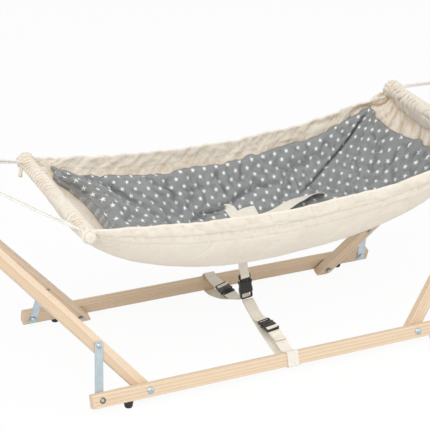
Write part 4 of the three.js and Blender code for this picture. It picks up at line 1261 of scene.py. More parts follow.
# the foot end stands up in a soft panel that rolls over at this line
panelLine = [(0.055, 0.845), (0.094, 0.856), (0.121, 0.865), (0.138, 0.848), (0.159, 0.828), (0.188, 0.788),
             (0.215, 0.748), (0.25, 0.703), (0.276, 0.663), (0.299, 0.628), (0.325, 0.57), (0.342, 0.48),
             (0.35, 0.36)]
# the deep crease at the head end
creaseLine = [(0.930, 0.945), (0.915, 0.928), (0.873, 0.862), (0.833, 0.822), (0.795, 0.792),
              (0.754, 0.752), (0.706, 0.712), (0.67, 0.69)]
# smaller creases: their lines, depth and width
smallCreases = [
    ([(0.35, 0.66), (0.40, 0.70), (0.449, 0.714), (0.476, 0.725), (0.53, 0.765), (0.58, 0.785),
      (0.616, 0.78), (0.649, 0.773), (0.69, 0.745)], 0.0050, 0.013),
    ([(0.487, 0.90), (0.487, 0.862), (0.492, 0.817), (0.506, 0.767)], 0.0045, 0.010),
    ([(0.285, 0.905), (0.3, 0.893), (0.319, 0.87), (0.349, 0.835), (0.372, 0.787)], 0.0040, 0.009),
    ([(0.435, 0.81), (0.435, 0.768), (0.432, 0.742)], 0.0040, 0.006),
    ([(0.612, 0.918), (0.615, 0.903), (0.621, 0.885), (0.637, 0.878)], 0.0045, 0.005),
    ([(0.739, 0.93), (0.743, 0.893), (0.744, 0.865)], 0.0040, 0.005),
    ([(0.93, 0.79), (0.929, 0.735), (0.921, 0.71)], 0.0035, 0.005),
    ([(0.668, 0.785), (0.682, 0.735)], 0.0045, 0.005),
    ([(0.690, 0.775), (0.697, 0.715)], 0.0045, 0.0045),
    ([(0.717, 0.755), (0.712, 0.70)], 0.0040, 0.0045),
    ([(0.16, 0.93), (0.175, 0.905), (0.20, 0.895)], 0.0040, 0.006),
    ([(0.080, 0.900), (0.093, 0.890), (0.106, 0.896)], 0.0060, 0.007),
    ([(0.070, 0.850), (0.080, 0.868), (0.098, 0.876)], 0.0045, 0.006),
    ([(0.128, 0.845), (0.121, 0.822), (0.114, 0.778), (0.107, 0.740)], 0.0080, 0.0045),
    ([(0.165, 0.80), (0.185, 0.735), (0.19, 0.66)], 0.0030, 0.010),
    ([(0.56, 0.91), (0.55, 0.87), (0.555, 0.83)], 0.0030, 0.007),
    ([(0.80, 0.90), (0.78, 0.87), (0.775, 0.84)], 0.0035, 0.007),
    ([(0.88, 0.93), (0.865, 0.905), (0.85, 0.90)], 0.0035, 0.006),
    ([(0.97, 0.62), (0.94, 0.60), (0.92, 0.585)], 0.0030, 0.007),
    ([(0.40, 0.93), (0.405, 0.885), (0.42, 0.86)], 0.0035, 0.007),
    ([(0.23, 0.92), (0.24, 0.89), (0.262, 0.87)], 0.0030, 0.007),
]
strapSlots = [[(0.412, 0.713), (0.494, 0.719)], [(0.722, 0.710), (0.742, 0.650)]]


def nearLine(u, v, line):
    # distance to a line, positive on the left of its way, and the share of the way along it
    line = np.asarray(line, float)
    sizes = np.linalg.norm(np.diff(line, axis=0), axis=1)
    starts = np.concatenate([[0], np.cumsum(sizes)])
    best, share = np.full(u.shape, 1e9), np.zeros(u.shape)
    for (u0, v0), (u1, v1), size, start in zip(line[:-1], line[1:], sizes, starts):
        du, dv = (u1 - u0) / size, (v1 - v0) / size
        along = np.clip((u - u0) * du + (v - v0) * dv, 0, size)
        offU, offV = u - u0 - along * du, v - v0 - along * dv
        gap = np.hypot(offU, offV)
        closer = gap < np.abs(best)
        best = np.where(closer, np.where(du * offV - dv * offU < 0, -gap, gap), best)
        share = np.where(closer, (start + along) / starts[-1], share)
    return best, share


def ironed(s, t):
    # place on the liner when it lies flat, in metres
    length = troughLength
    return s * length * linerSetup["stretch"], t * trough["girth"]


def flatLine(line):
    return smoothLine([ironed(*place) for place in line], 2)


def linerPlace(a, b, setup=linerSetup):
    # a and b run from 0 to 1 along and across the liner
    s = 0.07 + 0.9 * a
    length, girth = troughLength, trough["girth"]
    for _ in range(5):
        scallop = 0.0075 * softNoise(s * length / 0.026, 0.3, 97)
        scallop = scallop + 0.004 * softNoise(s * length / 0.011, 0.6, 98)
        rear = np.interp(s, *setup["rear"]) + scallop
        t = setup["front"] + 0.5 * scallop * (1 - b) + (rear - setup["front"]) * b
        waver = 0.004 * softNoise(t * girth / 0.022, 0.3, 99)
        left, right = np.interp(t, *setup["left"]) + waver, np.interp(t, *setup["right"]) + waver
        s = left + (right - left) * a
    return s, t


def linerLoft(a, b, s, t, setup=linerSetup):
    u, v = ironed(s, t)
    inset = np.minimum(np.minimum(a, 1 - a) * setup["long"], np.minimum(b, 1 - b) * setup["wide"])
    crown = np.clip(inset / 0.040, 0, 1)
    crown = np.sqrt(crown * (2 - crown))
    # the foot end's own edge stands high
    foot = smoothStep((t - 0.42) / 0.16) * smoothStep((0.835 - t) / 0.07)
    edge = setup["edge"] + 0.0200 * np.exp(-((a * setup["long"] / 0.06) ** 2)) * foot
    loft = edge + (np.maximum(setup["thickness"], edge) - edge) * crown
    lumps = 0.0030 * softNoise(u / 0.075, v / 0.06, 71) + 0.0016 * softNoise(u / 0.026, v / 0.026, 73)
    loft = loft + lumps * crown
    gap, share = nearLine(u, v, flatLine(panelLine))
    size = 0.024 * smoothStep(share / 0.10) * smoothStep((1 - share) / 0.35)
    panel = 1 - smoothStep((gap + 0.006) / 0.034)
    roll = 0.0030 * np.exp(-(((gap + 0.012) / 0.014) ** 2))
    loft = loft + (size * panel + roll * smoothStep(share / 0.15)) * smoothStep(inset / 0.030)
    loft = loft - 0.0050 * np.exp(-(((gap - 0.036) / 0.010) ** 2)) * smoothStep(share / 0.2)
    gap, share = nearLine(u, v, flatLine(creaseLine))
    size = smoothStep(share / 0.1) * smoothStep((1 - share) / 0.25)
    swell = 0.0075 * smoothStep(gap / 0.006) * np.exp(-np.maximum(gap, 0) / 0.045)
    loft = loft + size * (swell - 0.0115 * np.exp(-np.abs(gap + 0.001) / 0.0055))
    loft = loft + size * 0.004 * smoothStep(-gap / 0.01) * np.exp(-np.maximum(-gap, 0) / 0.03)
    for line, depth, width in smallCreases:
        gap, share = nearLine(u, v, flatLine(line))
        fade = smoothStep(share / 0.2) * smoothStep((1 - share) / 0.3)
        shoulder = 0.5 * np.exp(-((gap / (2.8 * width)) ** 2))
        valley = np.exp(-((np.abs(gap) / (1.1 * width)) ** 1.4))
        loft = loft + 1.3 * depth * fade * (shoulder - valley)
    for line in strapSlots:
        gap, share = nearLine(u, v, flatLine(line))
        lips = np.exp(-(((np.abs(gap) - 0.0050) / 0.0025) ** 2))
        loft = loft - 0.0050 * np.exp(-((gap / 0.0030) ** 2)) + 0.0012 * lips
    # puckers along the sewn edges
    for distance, seed in (((1 - b) * setup["wide"], 83), (b * setup["wide"], 89)):
        loft = loft + 0.0020 * softNoise(u / 0.010, distance / 0.03, seed) * np.exp(-distance / 0.020)
    for distance, seed in ((a * setup["long"], 91), ((1 - a) * setup["long"], 93)):
        loft = loft + 0.0018 * softNoise(v / 0.010, distance / 0.03, seed) * np.exp(-distance / 0.018)
    return np.maximum(loft, 0.0035)


def clothFace(s, t):
    # how far inwards of the trough's shape the cloth's inner face lies
    wrinkle = np.sum(sampleGrid(troughWrinkles, s, t) * troughNormal(s, t), -1)
    return -(clothSetup["inside"] + 0.0004 + clothDrape(s, t) + wrinkle)


def linerInward(a, b, s, t, setup=linerSetup):
    under = clothFace(s, t) + setup["gap"]
    plain = -clothSetup["inside"] + setup["gap"]
    return under, np.maximum(plain + linerLoft(a, b, s, t), under + 0.0042)


def wrinkleLiner(setup=linerSetup):
    rows, columns = 230, 112
    a, b = crossed(np.linspace(0, 1, rows), np.linspace(0, 1, columns))
    s, t = linerPlace(a, b)
    top = linerInward(a, b, s, t)[1]
    held = (a < 0.006) | (a > 0.994) | (b < 0.010) | (b > 0.990)
    u, v = ironed(s, t)
    for line in [creaseLine] + strapSlots:
        held |= np.abs(nearLine(u, v, flatLine(line))[0]) < 0.003
    return letWrinkle("liner", offTrough(s, t, -top), held, setup["growth"], setup["pressure"],
                      setup["frames"], setup["cap"], bend=0.5, seed=4, flip=True)


def buildLiner(setup=linerSetup):
    edge = np.array([0, 0.0015, 0.004, 0.008, 0.013, 0.019, 0.026])
    rows = int(0.87 / setup["stepAlong"])
    a = np.concatenate([edge / setup["long"], np.linspace(0.034, 0.966, rows), 1 - edge[::-1]
                        / setup["long"]])
    b = np.concatenate([edge / setup["wide"], np.linspace(0.064, 0.936, 118), 1 - edge[::-1]
                        / setup["wide"]])
    aa, bb = crossed(a, b)
    s, t = linerPlace(aa, bb)
    under, inward = linerInward(aa, bb, s, t)
    top = offTrough(s, t, -inward) + sampleGrid(linerWrinkles, aa, bb)
    bottom = offTrough(s, t, -under)
    points = np.concatenate([top.reshape(-1, 3), bottom.reshape(-1, 3)])
    faces = closedSheet(*s.shape)
    place = np.stack(ironed(s, t), -1).reshape(-1, 2)
    rim = np.concatenate([top[:, 0], top[-1, 1:], top[::-1, -1][1:], top[0, ::-1][1:]])
    return points, faces, np.concatenate([place, place + [3, 0]]), rim


def onLiner(s, t, rest=0.0):
    # a place on the liner's upper face
    s, t = np.atleast_1d(np.asarray(s, float)), np.atleast_1d(np.asarray(t, float))
    a, b = (s - 0.12) / 0.86, (t - 0.08) / 0.84
    top = linerInward(np.clip(a, 0.1, 0.9), np.clip(b, 0.1, 0.9), s, t)[1]
    return offTrough(s, t, -top - rest)


linerWrinkles = wrinkleLiner()
points, faces, uv, linerRim = buildLiner()
paddedLiner = addPiece("paddedLiner", points, faces, [starCloth], uv)
evenOut(paddedLiner, clothAngle)
markFoldShade(paddedLiner, *linerSetup["hollows"])
settle(paddedLiner, "hammock", "padded_liner")

# piping round the liner and round its two slots
pipes = [linerRim]
for line in strapSlots:
    flat = flatLine(line)
    ahead = unit(flat[-1] - flat[0])
    beside = np.array([-ahead[1], ahead[0]])
    ring = []
    for k in range(49):
        angle = 2 * math.pi * k / 48
        spoke = np.array([math.cos(angle), math.sin(angle)])
        reach = np.sign(spoke) * np.abs(spoke) ** 0.45
        half = np.linalg.norm(flat[-1] - flat[0]) / 2 + 0.003
        spot = (flat[0] + flat[-1]) / 2 + ahead * reach[0] * half + beside * reach[1] * 0.0075
        ring.append((spot[0] / troughLength / linerSetup["stretch"], spot[1] / trough["girth"]))
    ring = np.array(ring)
    pipes.append(onLiner(ring[:, 0], ring[:, 1], 0.0002))
made = []
for k, line in enumerate(pipes):
    points, faces = tubeMesh(evenLine(line, 0.0022 if k == 0 else 0.0014), linerSetup["pipe"], 8)
    made.append(addPiece("linerPiping", points, faces, [greyPipe]))
linerPiping = joinPieces("linerPiping", made)
evenOut(linerPiping, clothAngle)
settle(linerPiping, "hammock")
print("liner made")

# ropes: an eye in the hook, a knot, and a doubled line to a noose on each end of the bar
ropeSetup = {
    "radius": 0.0026, "spacing": 0.0056, "noose": 0.0150, "nooseAt": 0.186,
    "hookLength": 0.064, "wire": 0.003, "knotAt": 0.0806, "knotSize": 0.0026,
    "hole": (0.85242, 0, 0.609354), "start": 0.0027, "turns": 130.0, "step": 0.0011,
}


def hookFrame(sign, setup=ropeSetup):
    # origin and axes: along the pull, across, and square to both
    one = sleeveSetup["right" if sign > 0 else "left"]
    hole = np.array([sign * setup["hole"][0], 0, setup["hole"][2]])
    pull = np.array([one["x"], 0, one["z"]]) - hole
    pull = unit(pull)
    side = np.array([0, 1.0, 0])
    return hole + pull * setup["start"], pull, side, np.cross(pull, side)


def inFrame(axes, x, y, z):
    origin, pull, side, normal = axes
    return origin + pull * x + side * y + normal * z


def ropeLines(sign, setup=ropeSetup):
    axes = hookFrame(sign)
    one = sleeveSetup["right" if sign > 0 else "left"]
    knotAt = inFrame(axes, setup["knotAt"], 0, 0)
    lines = []
    eye = setup["wire"] + setup["radius"] + 0.0003
    loop = [inFrame(axes, setup["knotAt"] - 0.004, 0, 0.002)]
    for k in range(13):
        angle = math.pi / 2 + math.pi * k / 12
        loop.append(inFrame(axes, setup["hookLength"] + eye * math.cos(angle), 0, eye * math.sin(angle)))
    loop.append(inFrame(axes, setup["knotAt"] - 0.004, 0, -0.002))
    lines.append(evenLine(smoothLine(loop, 1), 0.0012))
    knot = []
    for k in range(97):
        angle = 2 * math.pi * k / 96
        ring = 2 + math.cos(3 * angle)
        knot.append(inFrame(
            axes,
            setup["knotAt"] + setup["knotSize"] * 1.3 * math.sin(3 * angle),
            setup["knotSize"] * ring * math.cos(2 * angle) * 0.9,
            setup["knotSize"] * ring * math.sin(2 * angle) * 0.9,
        ))
    lines.append(np.array(knot))
    upwards = np.cross(np.array([1.0, 0, 0]), barDirection)
    for end in (-1, 1):
        centre = np.array([one["x"], 0, one["z"]]) + barDirection * end * setup["nooseAt"]
        ring = []
        for k in range(61):
            angle = 2 * math.pi * k / 60
            spoke = np.array([math.cos(angle), 0, 0]) + upwards * math.sin(angle)
            ring.append(centre + setup["noose"] * spoke)
        lines.append(np.array(ring))
        pull = knotAt - centre
        pull = pull - barDirection * (pull @ barDirection)
        pull = unit(pull)
        start = centre + pull * setup["noose"]
        over = np.cross(knotAt - start, barDirection)
        over *= setup["spacing"] / 2 / np.linalg.norm(over)
        for side in (-1, 1):
            line = [start + barDirection * side * setup["spacing"] * 0.3,
                    start * 0.92 + knotAt * 0.08 + over * side,
                    start * 0.5 + knotAt * 0.5 + over * side, knotAt + over * side * 0.5]
            lines.append(evenLine(smoothLine(line, 3), 0.0015))
    return lines


for sign, word in ((-1, "left"), (1, "right")):
    rope = followLines("hangingRope_" + word, laidCord, ropeLines(sign), {
        "Radius": ropeSetup["radius"], "Turns per metre": ropeSetup["turns"], "Step": ropeSetup["step"],
        "Material": ropeWhite,
    })
    settle(rope, "hammock", "hanging_rope_" + word)
print("ropes made")

# stand: the wooden nodes stay, each with grain along its own length
standSetup = {
    "lean": math.radians(19.2), "track": 0.468, "railHeight": 0.030, "railHalf": 0.5,
    "pivotInset": 0.140, "braceInset": 0.024, "legAngle": math.radians(50.2), "braceUpLeg": 0.155,
    "footInset": 0.088,
    "lathDepth": 0.032, "lathThickness": 0.024, "bar": 0.0025, "gap": 0.0003,
}


def sideMatrix(name, setup=standSetup):
    lean = Matrix.Rotation(math.pi / 2 - setup["lean"], 4, "X")
    front = Matrix.Translation((0, -setup["track"] / 2, setup["railHeight"])) @ lean
    return front if name == "front" else Matrix.Rotation(math.pi, 4, "Z") @ front


def sideWord(side, sign):
    # the rear side is the front one turned half round, so its left and right change places
    return "right" if (sign > 0) == (side == "front") else "left"


def setMaterial(node, material):
    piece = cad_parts[node]
    piece.data.materials.clear()
    piece.data.materials.append(material)


seed = 0
for side in ("front", "rear"):
    seed += 1
    # painted shade: the rear side's beech is a little darker
    paintedShade = 0.0 if side == "front" else 0.05
    setMaterial("rail_" + side, beechMaterial("beechRail_" + side, (1, 0, 0), seed, paintedShade))
    for word in ("left", "right"):
        seed += 1
        # the leg runs up and inwards, away from the middle of the stand
        sign = (1 if word == "right" else -1) * (1 if side == "front" else -1)
        direction = Vector((sign * math.cos(standSetup["legAngle"]), math.sin(standSetup["legAngle"]), 0))
        direction = sideMatrix(side).to_3x3() @ direction
        setMaterial(f"leg_{side}_{word}", beechMaterial(f"beechLeg_{side}_{word}", direction, seed, paintedShade))
        setMaterial(f"brace_{side}_{word}", zincMaterial(f"zincBrace_{side}_{word}", (0, 0, 1)))
for word in ("left", "right"):
    setMaterial("spreader_bar_" + word, beechMaterial("beechBar_" + word, (0, 1, 0), 3))
    for node in ("head_bolt_", "hanger_plate_", "snap_hook_", "snap_hook_gate_"):
        setMaterial(node + word, zinc)
print("wood dressed")

# bolts, nuts and washers with round heads and six-sided nuts
hardware = {
    "bolt": 0.003, "dome": 0.008, "domeHeight": 0.004, "knob": 0.009, "knobHeight": 0.007,
    "nut": 0.0058, "nutHeight": 0.005, "flange": 0.0075, "screw": 0.006, "screwHeight": 0.003,
    "washer": 0.009, "washerHole": 0.0033, "counterbore": 0.008,
}


def hexProfile(radius, low, high, ease=0.0007):
    # a six-sided nut as an outline lofted over its eased edges
    rings = [(radius - ease * 1.4, low), (radius, low + ease), (radius, high - ease),
             (radius - ease * 1.4, high)]
    points = [(r * x, r * y, z) for r, z in rings for x, y in circle(6)]
    return np.array(points), closedTube(len(rings), 6)


def domeProfile(radius, height, seat, up=1, steps=9):
    angles = [math.pi / 2 * k / steps for k in range(steps + 1)]
    return [(radius * math.cos(angle), seat + up * height * math.sin(angle)) for angle in angles]


def hardwarePiece(name, parts, place, node):
    made = []
    for points, faces, *own in parts:
        made.append(evenOut(addPiece(name, points, faces, own or [zinc])))
    piece = joinPieces(name, made)
    piece.data.transform(place)
    return settle(piece, "stand", node)


def buildHardware():
    h, st = hardware, standSetup
    rail = st["lathThickness"] / 2
    legOuter = -rail - st["bar"] - 2 * st["gap"]
    legInner = legOuter - st["lathThickness"]
    barOuter = -rail - st["gap"]
    barInner = barOuter - st["bar"]
    pivotX, braceX = st["railHalf"] - st["pivotInset"], st["railHalf"] - st["braceInset"]
    topX = pivotX + st["braceUpLeg"] * math.cos(st["legAngle"])
    topY = st["braceUpLeg"] * math.sin(st["legAngle"])
    for side in ("front", "rear"):
        place = sideMatrix(side)
        for sign in (-1, 1):
            tag = f"{side}_{sideWord(side, sign)}"
            at = lambda x, y: place @ Matrix.Translation((sign * x, y, 0))
            seat, top = legInner - st["gap"], rail + st["gap"]
            low = seat - h["nutHeight"]
            shank = turnedMesh([(0, low - 0.0015), (h["bolt"], low - 0.0012), (h["bolt"], top)]
                               + domeProfile(h["dome"], h["domeHeight"], top)[:-1]
                               + [(0, top + h["domeHeight"])], 40)
            nut = hexProfile(h["nut"], low, seat - 0.0014)
            flange = turnedMesh([(0, seat - 0.0016), (h["flange"] - 0.0004, seat - 0.0016),
                                 (h["flange"], seat - 0.0010), (h["flange"], seat), (0, seat)], 40)
            hardwarePiece("pivotBolt_" + tag, [shank, (*nut, darkZinc), (*flange, darkZinc)], at(pivotX, 0),
                          "pivot_bolt_" + tag)
            washer = turnedRing(h["washer"], h["washerHole"], barInner, barOuter)
            hardwarePiece("pivotWasher_" + tag, [washer], at(pivotX, 0), "pivot_spacer_" + tag)
            knobSeat = barInner - st["gap"]
            knob = turnedMesh([(0, knobSeat - h["knobHeight"])]
                              + domeProfile(h["knob"], h["knobHeight"], knobSeat, -1, 12)[::-1][1:]
                              + [(h["bolt"], knobSeat), (h["bolt"], rail - 0.001), (0, rail - 0.001)], 48)
            hardwarePiece("braceKnob_" + tag, [knob], at(braceX, 0), "brace_knob_" + tag)
            nutSeat = rail - h["counterbore"] + st["gap"]
            nut = hexProfile(h["nut"], nutSeat, nutSeat + h["nutHeight"])
            hardwarePiece("braceNut_" + tag, [(*nut, darkZinc)], at(braceX, 0), "brace_nut_" + tag)
            head = barOuter + st["gap"]
            screw = turnedMesh([(0, low), (h["bolt"], low), (h["bolt"], head)]
                               + domeProfile(h["screw"], h["screwHeight"], head, 1, 7)[:-1]
                               + [(0, head + h["screwHeight"])], 40)
            nut = hexProfile(h["nut"], low + 0.0003, seat)
            hardwarePiece("braceScrew_" + tag, [screw, (*nut, darkZinc)], at(topX, topY),
                          "brace_screw_" + tag)


def turnedRing(outer, inner, low, high, sides=40, ease=0.0003):
    profile = [(inner, low), (outer - ease, low), (outer, low + ease), (outer, high - ease),
               (outer - ease, high), (inner, high)]
    points = [(r * x, r * y, z) for r, z in profile for x, y in circle(sides)]
    return np.array(points), gridFaces(len(profile), sides, aroundRows=True, aroundColumns=True)


buildHardware()
print("hardware made")

# tapered rubber feet, cut to the rail's leaning underside
footSetup = {"top": 0.0115, "bottom": 0.0085, "tall": 0.0295, "level": 0.006, "sides": 48}


def buildFoot(side, sign, setup=footSetup):
    st = standSetup
    inverse = sideMatrix("front").inverted()
    footY = -(st["track"] / 2 + st["lathDepth"] / 2 * math.sin(st["lean"]))
    sides = setup["sides"]
    profile = [(0.0, 0.0012), (0.0045, 0.0012), (0.0052, 0.0), (setup["bottom"] - 0.0014, 0.0),
               (setup["bottom"] - 0.0004, 0.0005), (setup["bottom"], 0.0015),
               (setup["bottom"] + 0.0010, 0.007),
               (setup["top"] - 0.0003, 0.0285)]
    points = []
    underside = -st["lathDepth"] / 2 - st["gap"]

    def topHeight(x, y):
        # height at which a vertical line meets the plane of the rail's underside
        low, high = inverse @ Vector((x, footY + y, 0)), inverse @ Vector((x, footY + y, 0.05))
        return 0.05 * (underside - low.y) / (high.y - low.y)

    for radius, height in profile:
        for x, y in circle(sides):
            # only the part above the tread follows the rail
            grown = topHeight(radius * x, radius * y) / setup["tall"] if height > setup["level"] else 1
            points.append((radius * x, footY + radius * y, height * grown))
    radius = setup["top"] - 0.0004
    for x, y in circle(sides):
        points.append((radius * x, footY + radius * y, topHeight(radius * x, radius * y)))
    rows = len(profile) + 1
    faces = gridFaces(rows, sides, aroundColumns=True)
    faces.append(tuple(range((rows - 1) * sides, rows * sides)))
    word = sideWord(side, sign)
    piece = addPiece(f"foot_{side}_{word}_rubber", points, faces, [blackRubber])
    move = Matrix.Translation((sign * (st["railHalf"] - st["footInset"]), 0, 0))
    if side == "rear":
        move = Matrix.Rotation(math.pi, 4, "Z") @ move
    piece.data.transform(move)
    evenOut(piece)
    settle(piece, "stand", f"foot_{side}_{word}")


for side in ("front", "rear"):
    for sign in (-1, 1):
        buildFoot(side, sign)
print("feet made")

# webbing
webSetup = {"width": 0.030, "thickness": 0.0016, "step": 0.0022}


def ribbonMesh(line, widths, width=webSetup["width"], thickness=webSetup["thickness"], across=6):
    # a flat strap along a line; widths are the directions of its width at each point
    line = np.asarray(line, float)
    widths = np.asarray(widths, float)
    heading = np.gradient(line, axis=0)
    heading = unit(heading)
    widths = widths - heading * np.sum(widths * heading, 1)[:, None]
    widths = unit(widths)
    normal = np.cross(heading, widths)
    steps = np.concatenate([[0], np.cumsum(np.linalg.norm(np.diff(line, axis=0), axis=1))])
    # across its upper face, over the selvedge, back along its lower face and over the other selvedge
    face = [(width * (j / across - 0.5) * 0.985, thickness / 2, width * j / across)
            for j in range(across + 1)]
    section = face + [(width / 2, 0, width)] + [(w, -n, v) for w, n, v in face[::-1]] + [(-width / 2, 0, 0)]
    points = [line[i] + widths[i] * w + normal[i] * n for i in range(len(line)) for w, n, _ in section]
    uv = [(step, v) for step in steps for _, _, v in section]
    return np.array(points), closedTube(len(line), len(section)), np.array(uv)


def ribbonPiece(name, line, widths, **sizes):
    points, faces, uv = ribbonMesh(line, widths, **sizes)
    return addPiece(name, points, faces, [webbing], uv)


# harness on the liner; each place has its shares of the trough's length and section, its millimetres off
# the liner's plain face, and its turn: the right strap leaves its slot edgeways, so that runs from 1 to 0
harness = {
    "left": [(0.4850, 0.716, -8, 0), (0.4852, 0.7185, 0.5, 0), (0.4856, 0.7195, 6.5, 0),
             (0.4862, 0.7165, 9.0, 0), (0.488, 0.705, 8.0, 0),
             (0.491, 0.688, 6.0, 0), (0.494, 0.665, 5.5, 0), (0.4975, 0.645, 6.5, 0),
             (0.503, 0.627, 6.0, 0)],
    "tail": [(0.4975, 0.650, 4.5, 0), (0.506, 0.660, 7.0, 0), (0.520, 0.6640, 9.0, 0),
             (0.538, 0.6655, 9.5, 0), (0.5535, 0.6650, 9.0, 0)],
    "right": [(0.742, 0.664, -8, 1.0), (0.735, 0.664, 2, 1.0), (0.722, 0.661, 9, 1.0),
              (0.705, 0.660, 13, 0.85), (0.680, 0.657, 14, 0.6), (0.655, 0.652, 12, 0.4),
              (0.635, 0.646, 10, 0.25), (0.612, 0.634, 8, 0.15), (0.590, 0.622, 7, 0.05),
              (0.558, 0.617, 7, 0)],
    "front": [(0.545, 0.30, 2, 0), (0.541, 0.40, 2.5, 0), (0.537, 0.50, 3.5, 0), (0.533, 0.57, 4.5, 0),
              (0.531, 0.600, 5.0, 0)],
    "buckle": (0.529, 0.622), "buckleRest": 0.0075, "turn": math.radians(62),
}


def strapOnLiner(name, places):
    # the turn is kept small beside the places, so that it doesn't change the spacing
    corners = [(*ironed(s, t), rest / 1000, turn * 0.05) for s, t, rest, turn in places]
    flat = evenLine(smoothLine(corners, 3), webSetup["step"])
    s = flat[:, 0] / troughLength / linerSetup["stretch"]
    t = flat[:, 1] / trough["girth"]
    line = onLiner(s, t, flat[:, 2] + webSetup["thickness"] / 2)
    # the strap bridges the liner's small hollows
    for _ in range(12):
        line[1:-1] = line[1:-1] * 0.5 + (line[:-2] + line[2:]) * 0.25
    inwards = -troughNormal(s, t)
    heading = np.gradient(line, axis=0)
    whole = line[-1] - line[0]
    heading = np.where(np.sum(heading * whole, 1)[:, None] < 0, -heading, heading)
    across = np.cross(inwards, heading)
    across = unit(across)
    for _ in range(14):
        across[1:-1] = across[1:-1] * 0.5 + (across[:-2] + across[2:]) * 0.25
    turn = flat[:, 3:4] / 0.05 * harness["turn"]
    across = across * np.cos(turn) + inwards * np.sin(turn)
    return evenOut(ribbonPiece(name, line, across), strapAngle)


for word in ("left", "right", "front"):
    made = [strapOnLiner("harnessStrap_" + word, harness[word])]
    if word == "left":
        made.append(strapOnLiner("harnessTail", harness["tail"]))
    strap = joinPieces("harnessStrap_" + word, made)
    settle(strap, "hammock", "harness_strap_" + word)
print("harness straps made")

# tether under the hammock: two loops round the rails, three buckles and a strap from the belly
tether = {
    "x": 0.008, "tilt": math.radians(-7), "bottom": 0.088, "buckleLength": 0.056,
    "front": (0.118, 0.065), "rear": (0.127, 0.056),
    "roll": {"front": math.radians(9), "rear": math.radians(17)},
    "upper": [(0.066, 0.060), (0.034, 0.073)],
    "frontLower": [(0.053, 0.062), (0.103, 0.043), (0.165, 0.026)],
    "rearLower": [(0.055, 0.064), (0.121, 0.038), (0.195, 0.013)],
    "rearSlack": 0.009, "rearSkew": 0.010, "tail": (0.146, 0.184),
}


def railCorner(end, up, out):
    reach = 0.0006 + webSetup["thickness"] / 2
    high, wide = (standSetup[key] / 2 + reach for key in ("lathDepth", "lathThickness"))
    corner = sideMatrix("front") @ Vector((0, up * high, out * wide))
    return (corner.y * -end, corner.z)


def tetherFrame():
    # x across the centre buckle, y up it and z to the rear
    placed = Matrix.Translation((tether["x"], 0, tether["bottom"]))
    return placed @ Matrix.Rotation(tether["tilt"], 4, "Y") @ Matrix.Rotation(math.pi / 2, 4, "X")


def windowLine(end, buckleY, buckleZ):
    # under the buckle's end bar, up into its window and down again round the inner bar
    half = tether["buckleLength"] / 2
    steps = [(0.006, -0.0042), (-0.0008, -0.0054), (-0.0036, -0.0036), (-0.0050, 0.0020), (-0.0082, 0.0058),
             (-0.0125, 0.0058), (-0.0158, 0.0022), (-0.0166, -0.0020)]
    return [(end * (buckleY + half + y), buckleZ + z) for y, z in steps]


def railStrapLine(end):
    buckleY, buckleZ = tether["front"] if end < 0 else tether["rear"]
    reach = tether["buckleLength"] / 2 - 0.004
    lower = tether["frontLower"] if end < 0 else tether["rearLower"]
    loose = [(end * (buckleY - reach), buckleZ), (end * (buckleY - reach - 0.006), buckleZ + 0.0015)]
    loose += [(end * y, z) for y, z in tether["upper"]]
    loose += [(end * 0.0110, tether["bottom"] - 0.0028), (end * 0.0026, tether["bottom"] - 0.0010),
              (end * 0.0075, tether["bottom"] - 0.0056)]
    loose += [(end * y, z) for y, z in lower]
    slack = tether["rearSlack"] if end > 0 else 0
    corners = []
    for up, out in ((-1, -1), (-1, 1), (1, 1), (1, -1)):
        y, z = railCorner(end, up, out)
        corners.append((y, z + (slack if up > 0 else 0)))
    ending = windowLine(end, buckleY, buckleZ)
    # the front loop is drawn tight round its rail, the rear one is rounder
    others = smoothLine(corners[1:], 1) if end > 0 else np.array(corners[1:3] + corners[2:])
    return np.concatenate([smoothLine(loose + corners[:1], 2), others, smoothLine(ending, 2)])


def rolled(flat, word):
    # the strap's width leans over near its buckle
    buckleY = tether[word][0]
    roll = tether["roll"][word] * np.exp(-(((np.abs(flat[:, 0]) - buckleY) / 0.07) ** 2))
    return np.stack([np.cos(roll), np.zeros(len(roll)), np.sin(roll)], 1)


def shifted(flat, end):
    skew = tether["rearSkew"] if end > 0 else 0
    reachOut = np.clip((np.abs(flat[:, 0]) - 0.03) / 0.22, 0, 1)
    return np.stack([tether["x"] + skew * reachOut, flat[:, 0], flat[:, 1]], 1)


for end, word in ((-1, "front"), (1, "rear")):
    flat = evenLine(railStrapLine(end), webSetup["step"])
    made = [ribbonPiece("tetherStrap_" + word, shifted(flat, end), rolled(flat, word))]
    if end < 0:
        # its tail lies on the strap between the buckle and the rail
        near, far = tether["tail"]
        over = webSetup["thickness"] + 0.0008
        under = sorted(((-y, z) for y, z in flat[len(flat) // 2:] if z > tether["front"][1] - 0.03),
                       key=lambda place: place[0])
        ys, zs = np.array(under).T
        y = np.linspace(near, far, 24)
        share = np.linspace(0, 1, 24)
        z = np.interp(y, ys, zs) + over + 0.0012 * np.sin(np.linspace(0, 9, 24)) * share + 0.0022 * share**3
        flatTail = np.stack([-y, z], 1)
        made.append(ribbonPiece("tetherTail", shifted(flatTail, end), rolled(flatTail, word), width=0.0290))
        # and it shows as a round fold in the centre buckle's window
        turnLine = smoothLine([(0.0160, 0.0015), (0.0146, -0.0032), (0.0112, -0.0062), (0.0070, -0.0064),
                               (0.0038, -0.0040), (0.0026, 0.0012)], 3)
        fold = np.array([tetherFrame() @ Vector((0, up, away)) for up, away in turnLine])
        sideways = np.tile(np.array(tetherFrame().to_3x3() @ Vector((1, 0, 0))), (len(fold), 1))
        made.append(ribbonPiece("tetherFold", fold, sideways, width=0.0232))
    strap = joinPieces("tetherStrap_" + word, made)
    evenOut(strap, strapAngle)
    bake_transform(strap)
    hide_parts("tether_strap_" + word)
print("tether straps made")

buckleLook = {
    "length": 0.056, "width": 0.035, "thick": 0.0090, "wall": 0.0045, "head": 0.012, "neck": 0.004,
    "window": 0.0200,
    "socket": 0.050, "seat": 0.020,
}


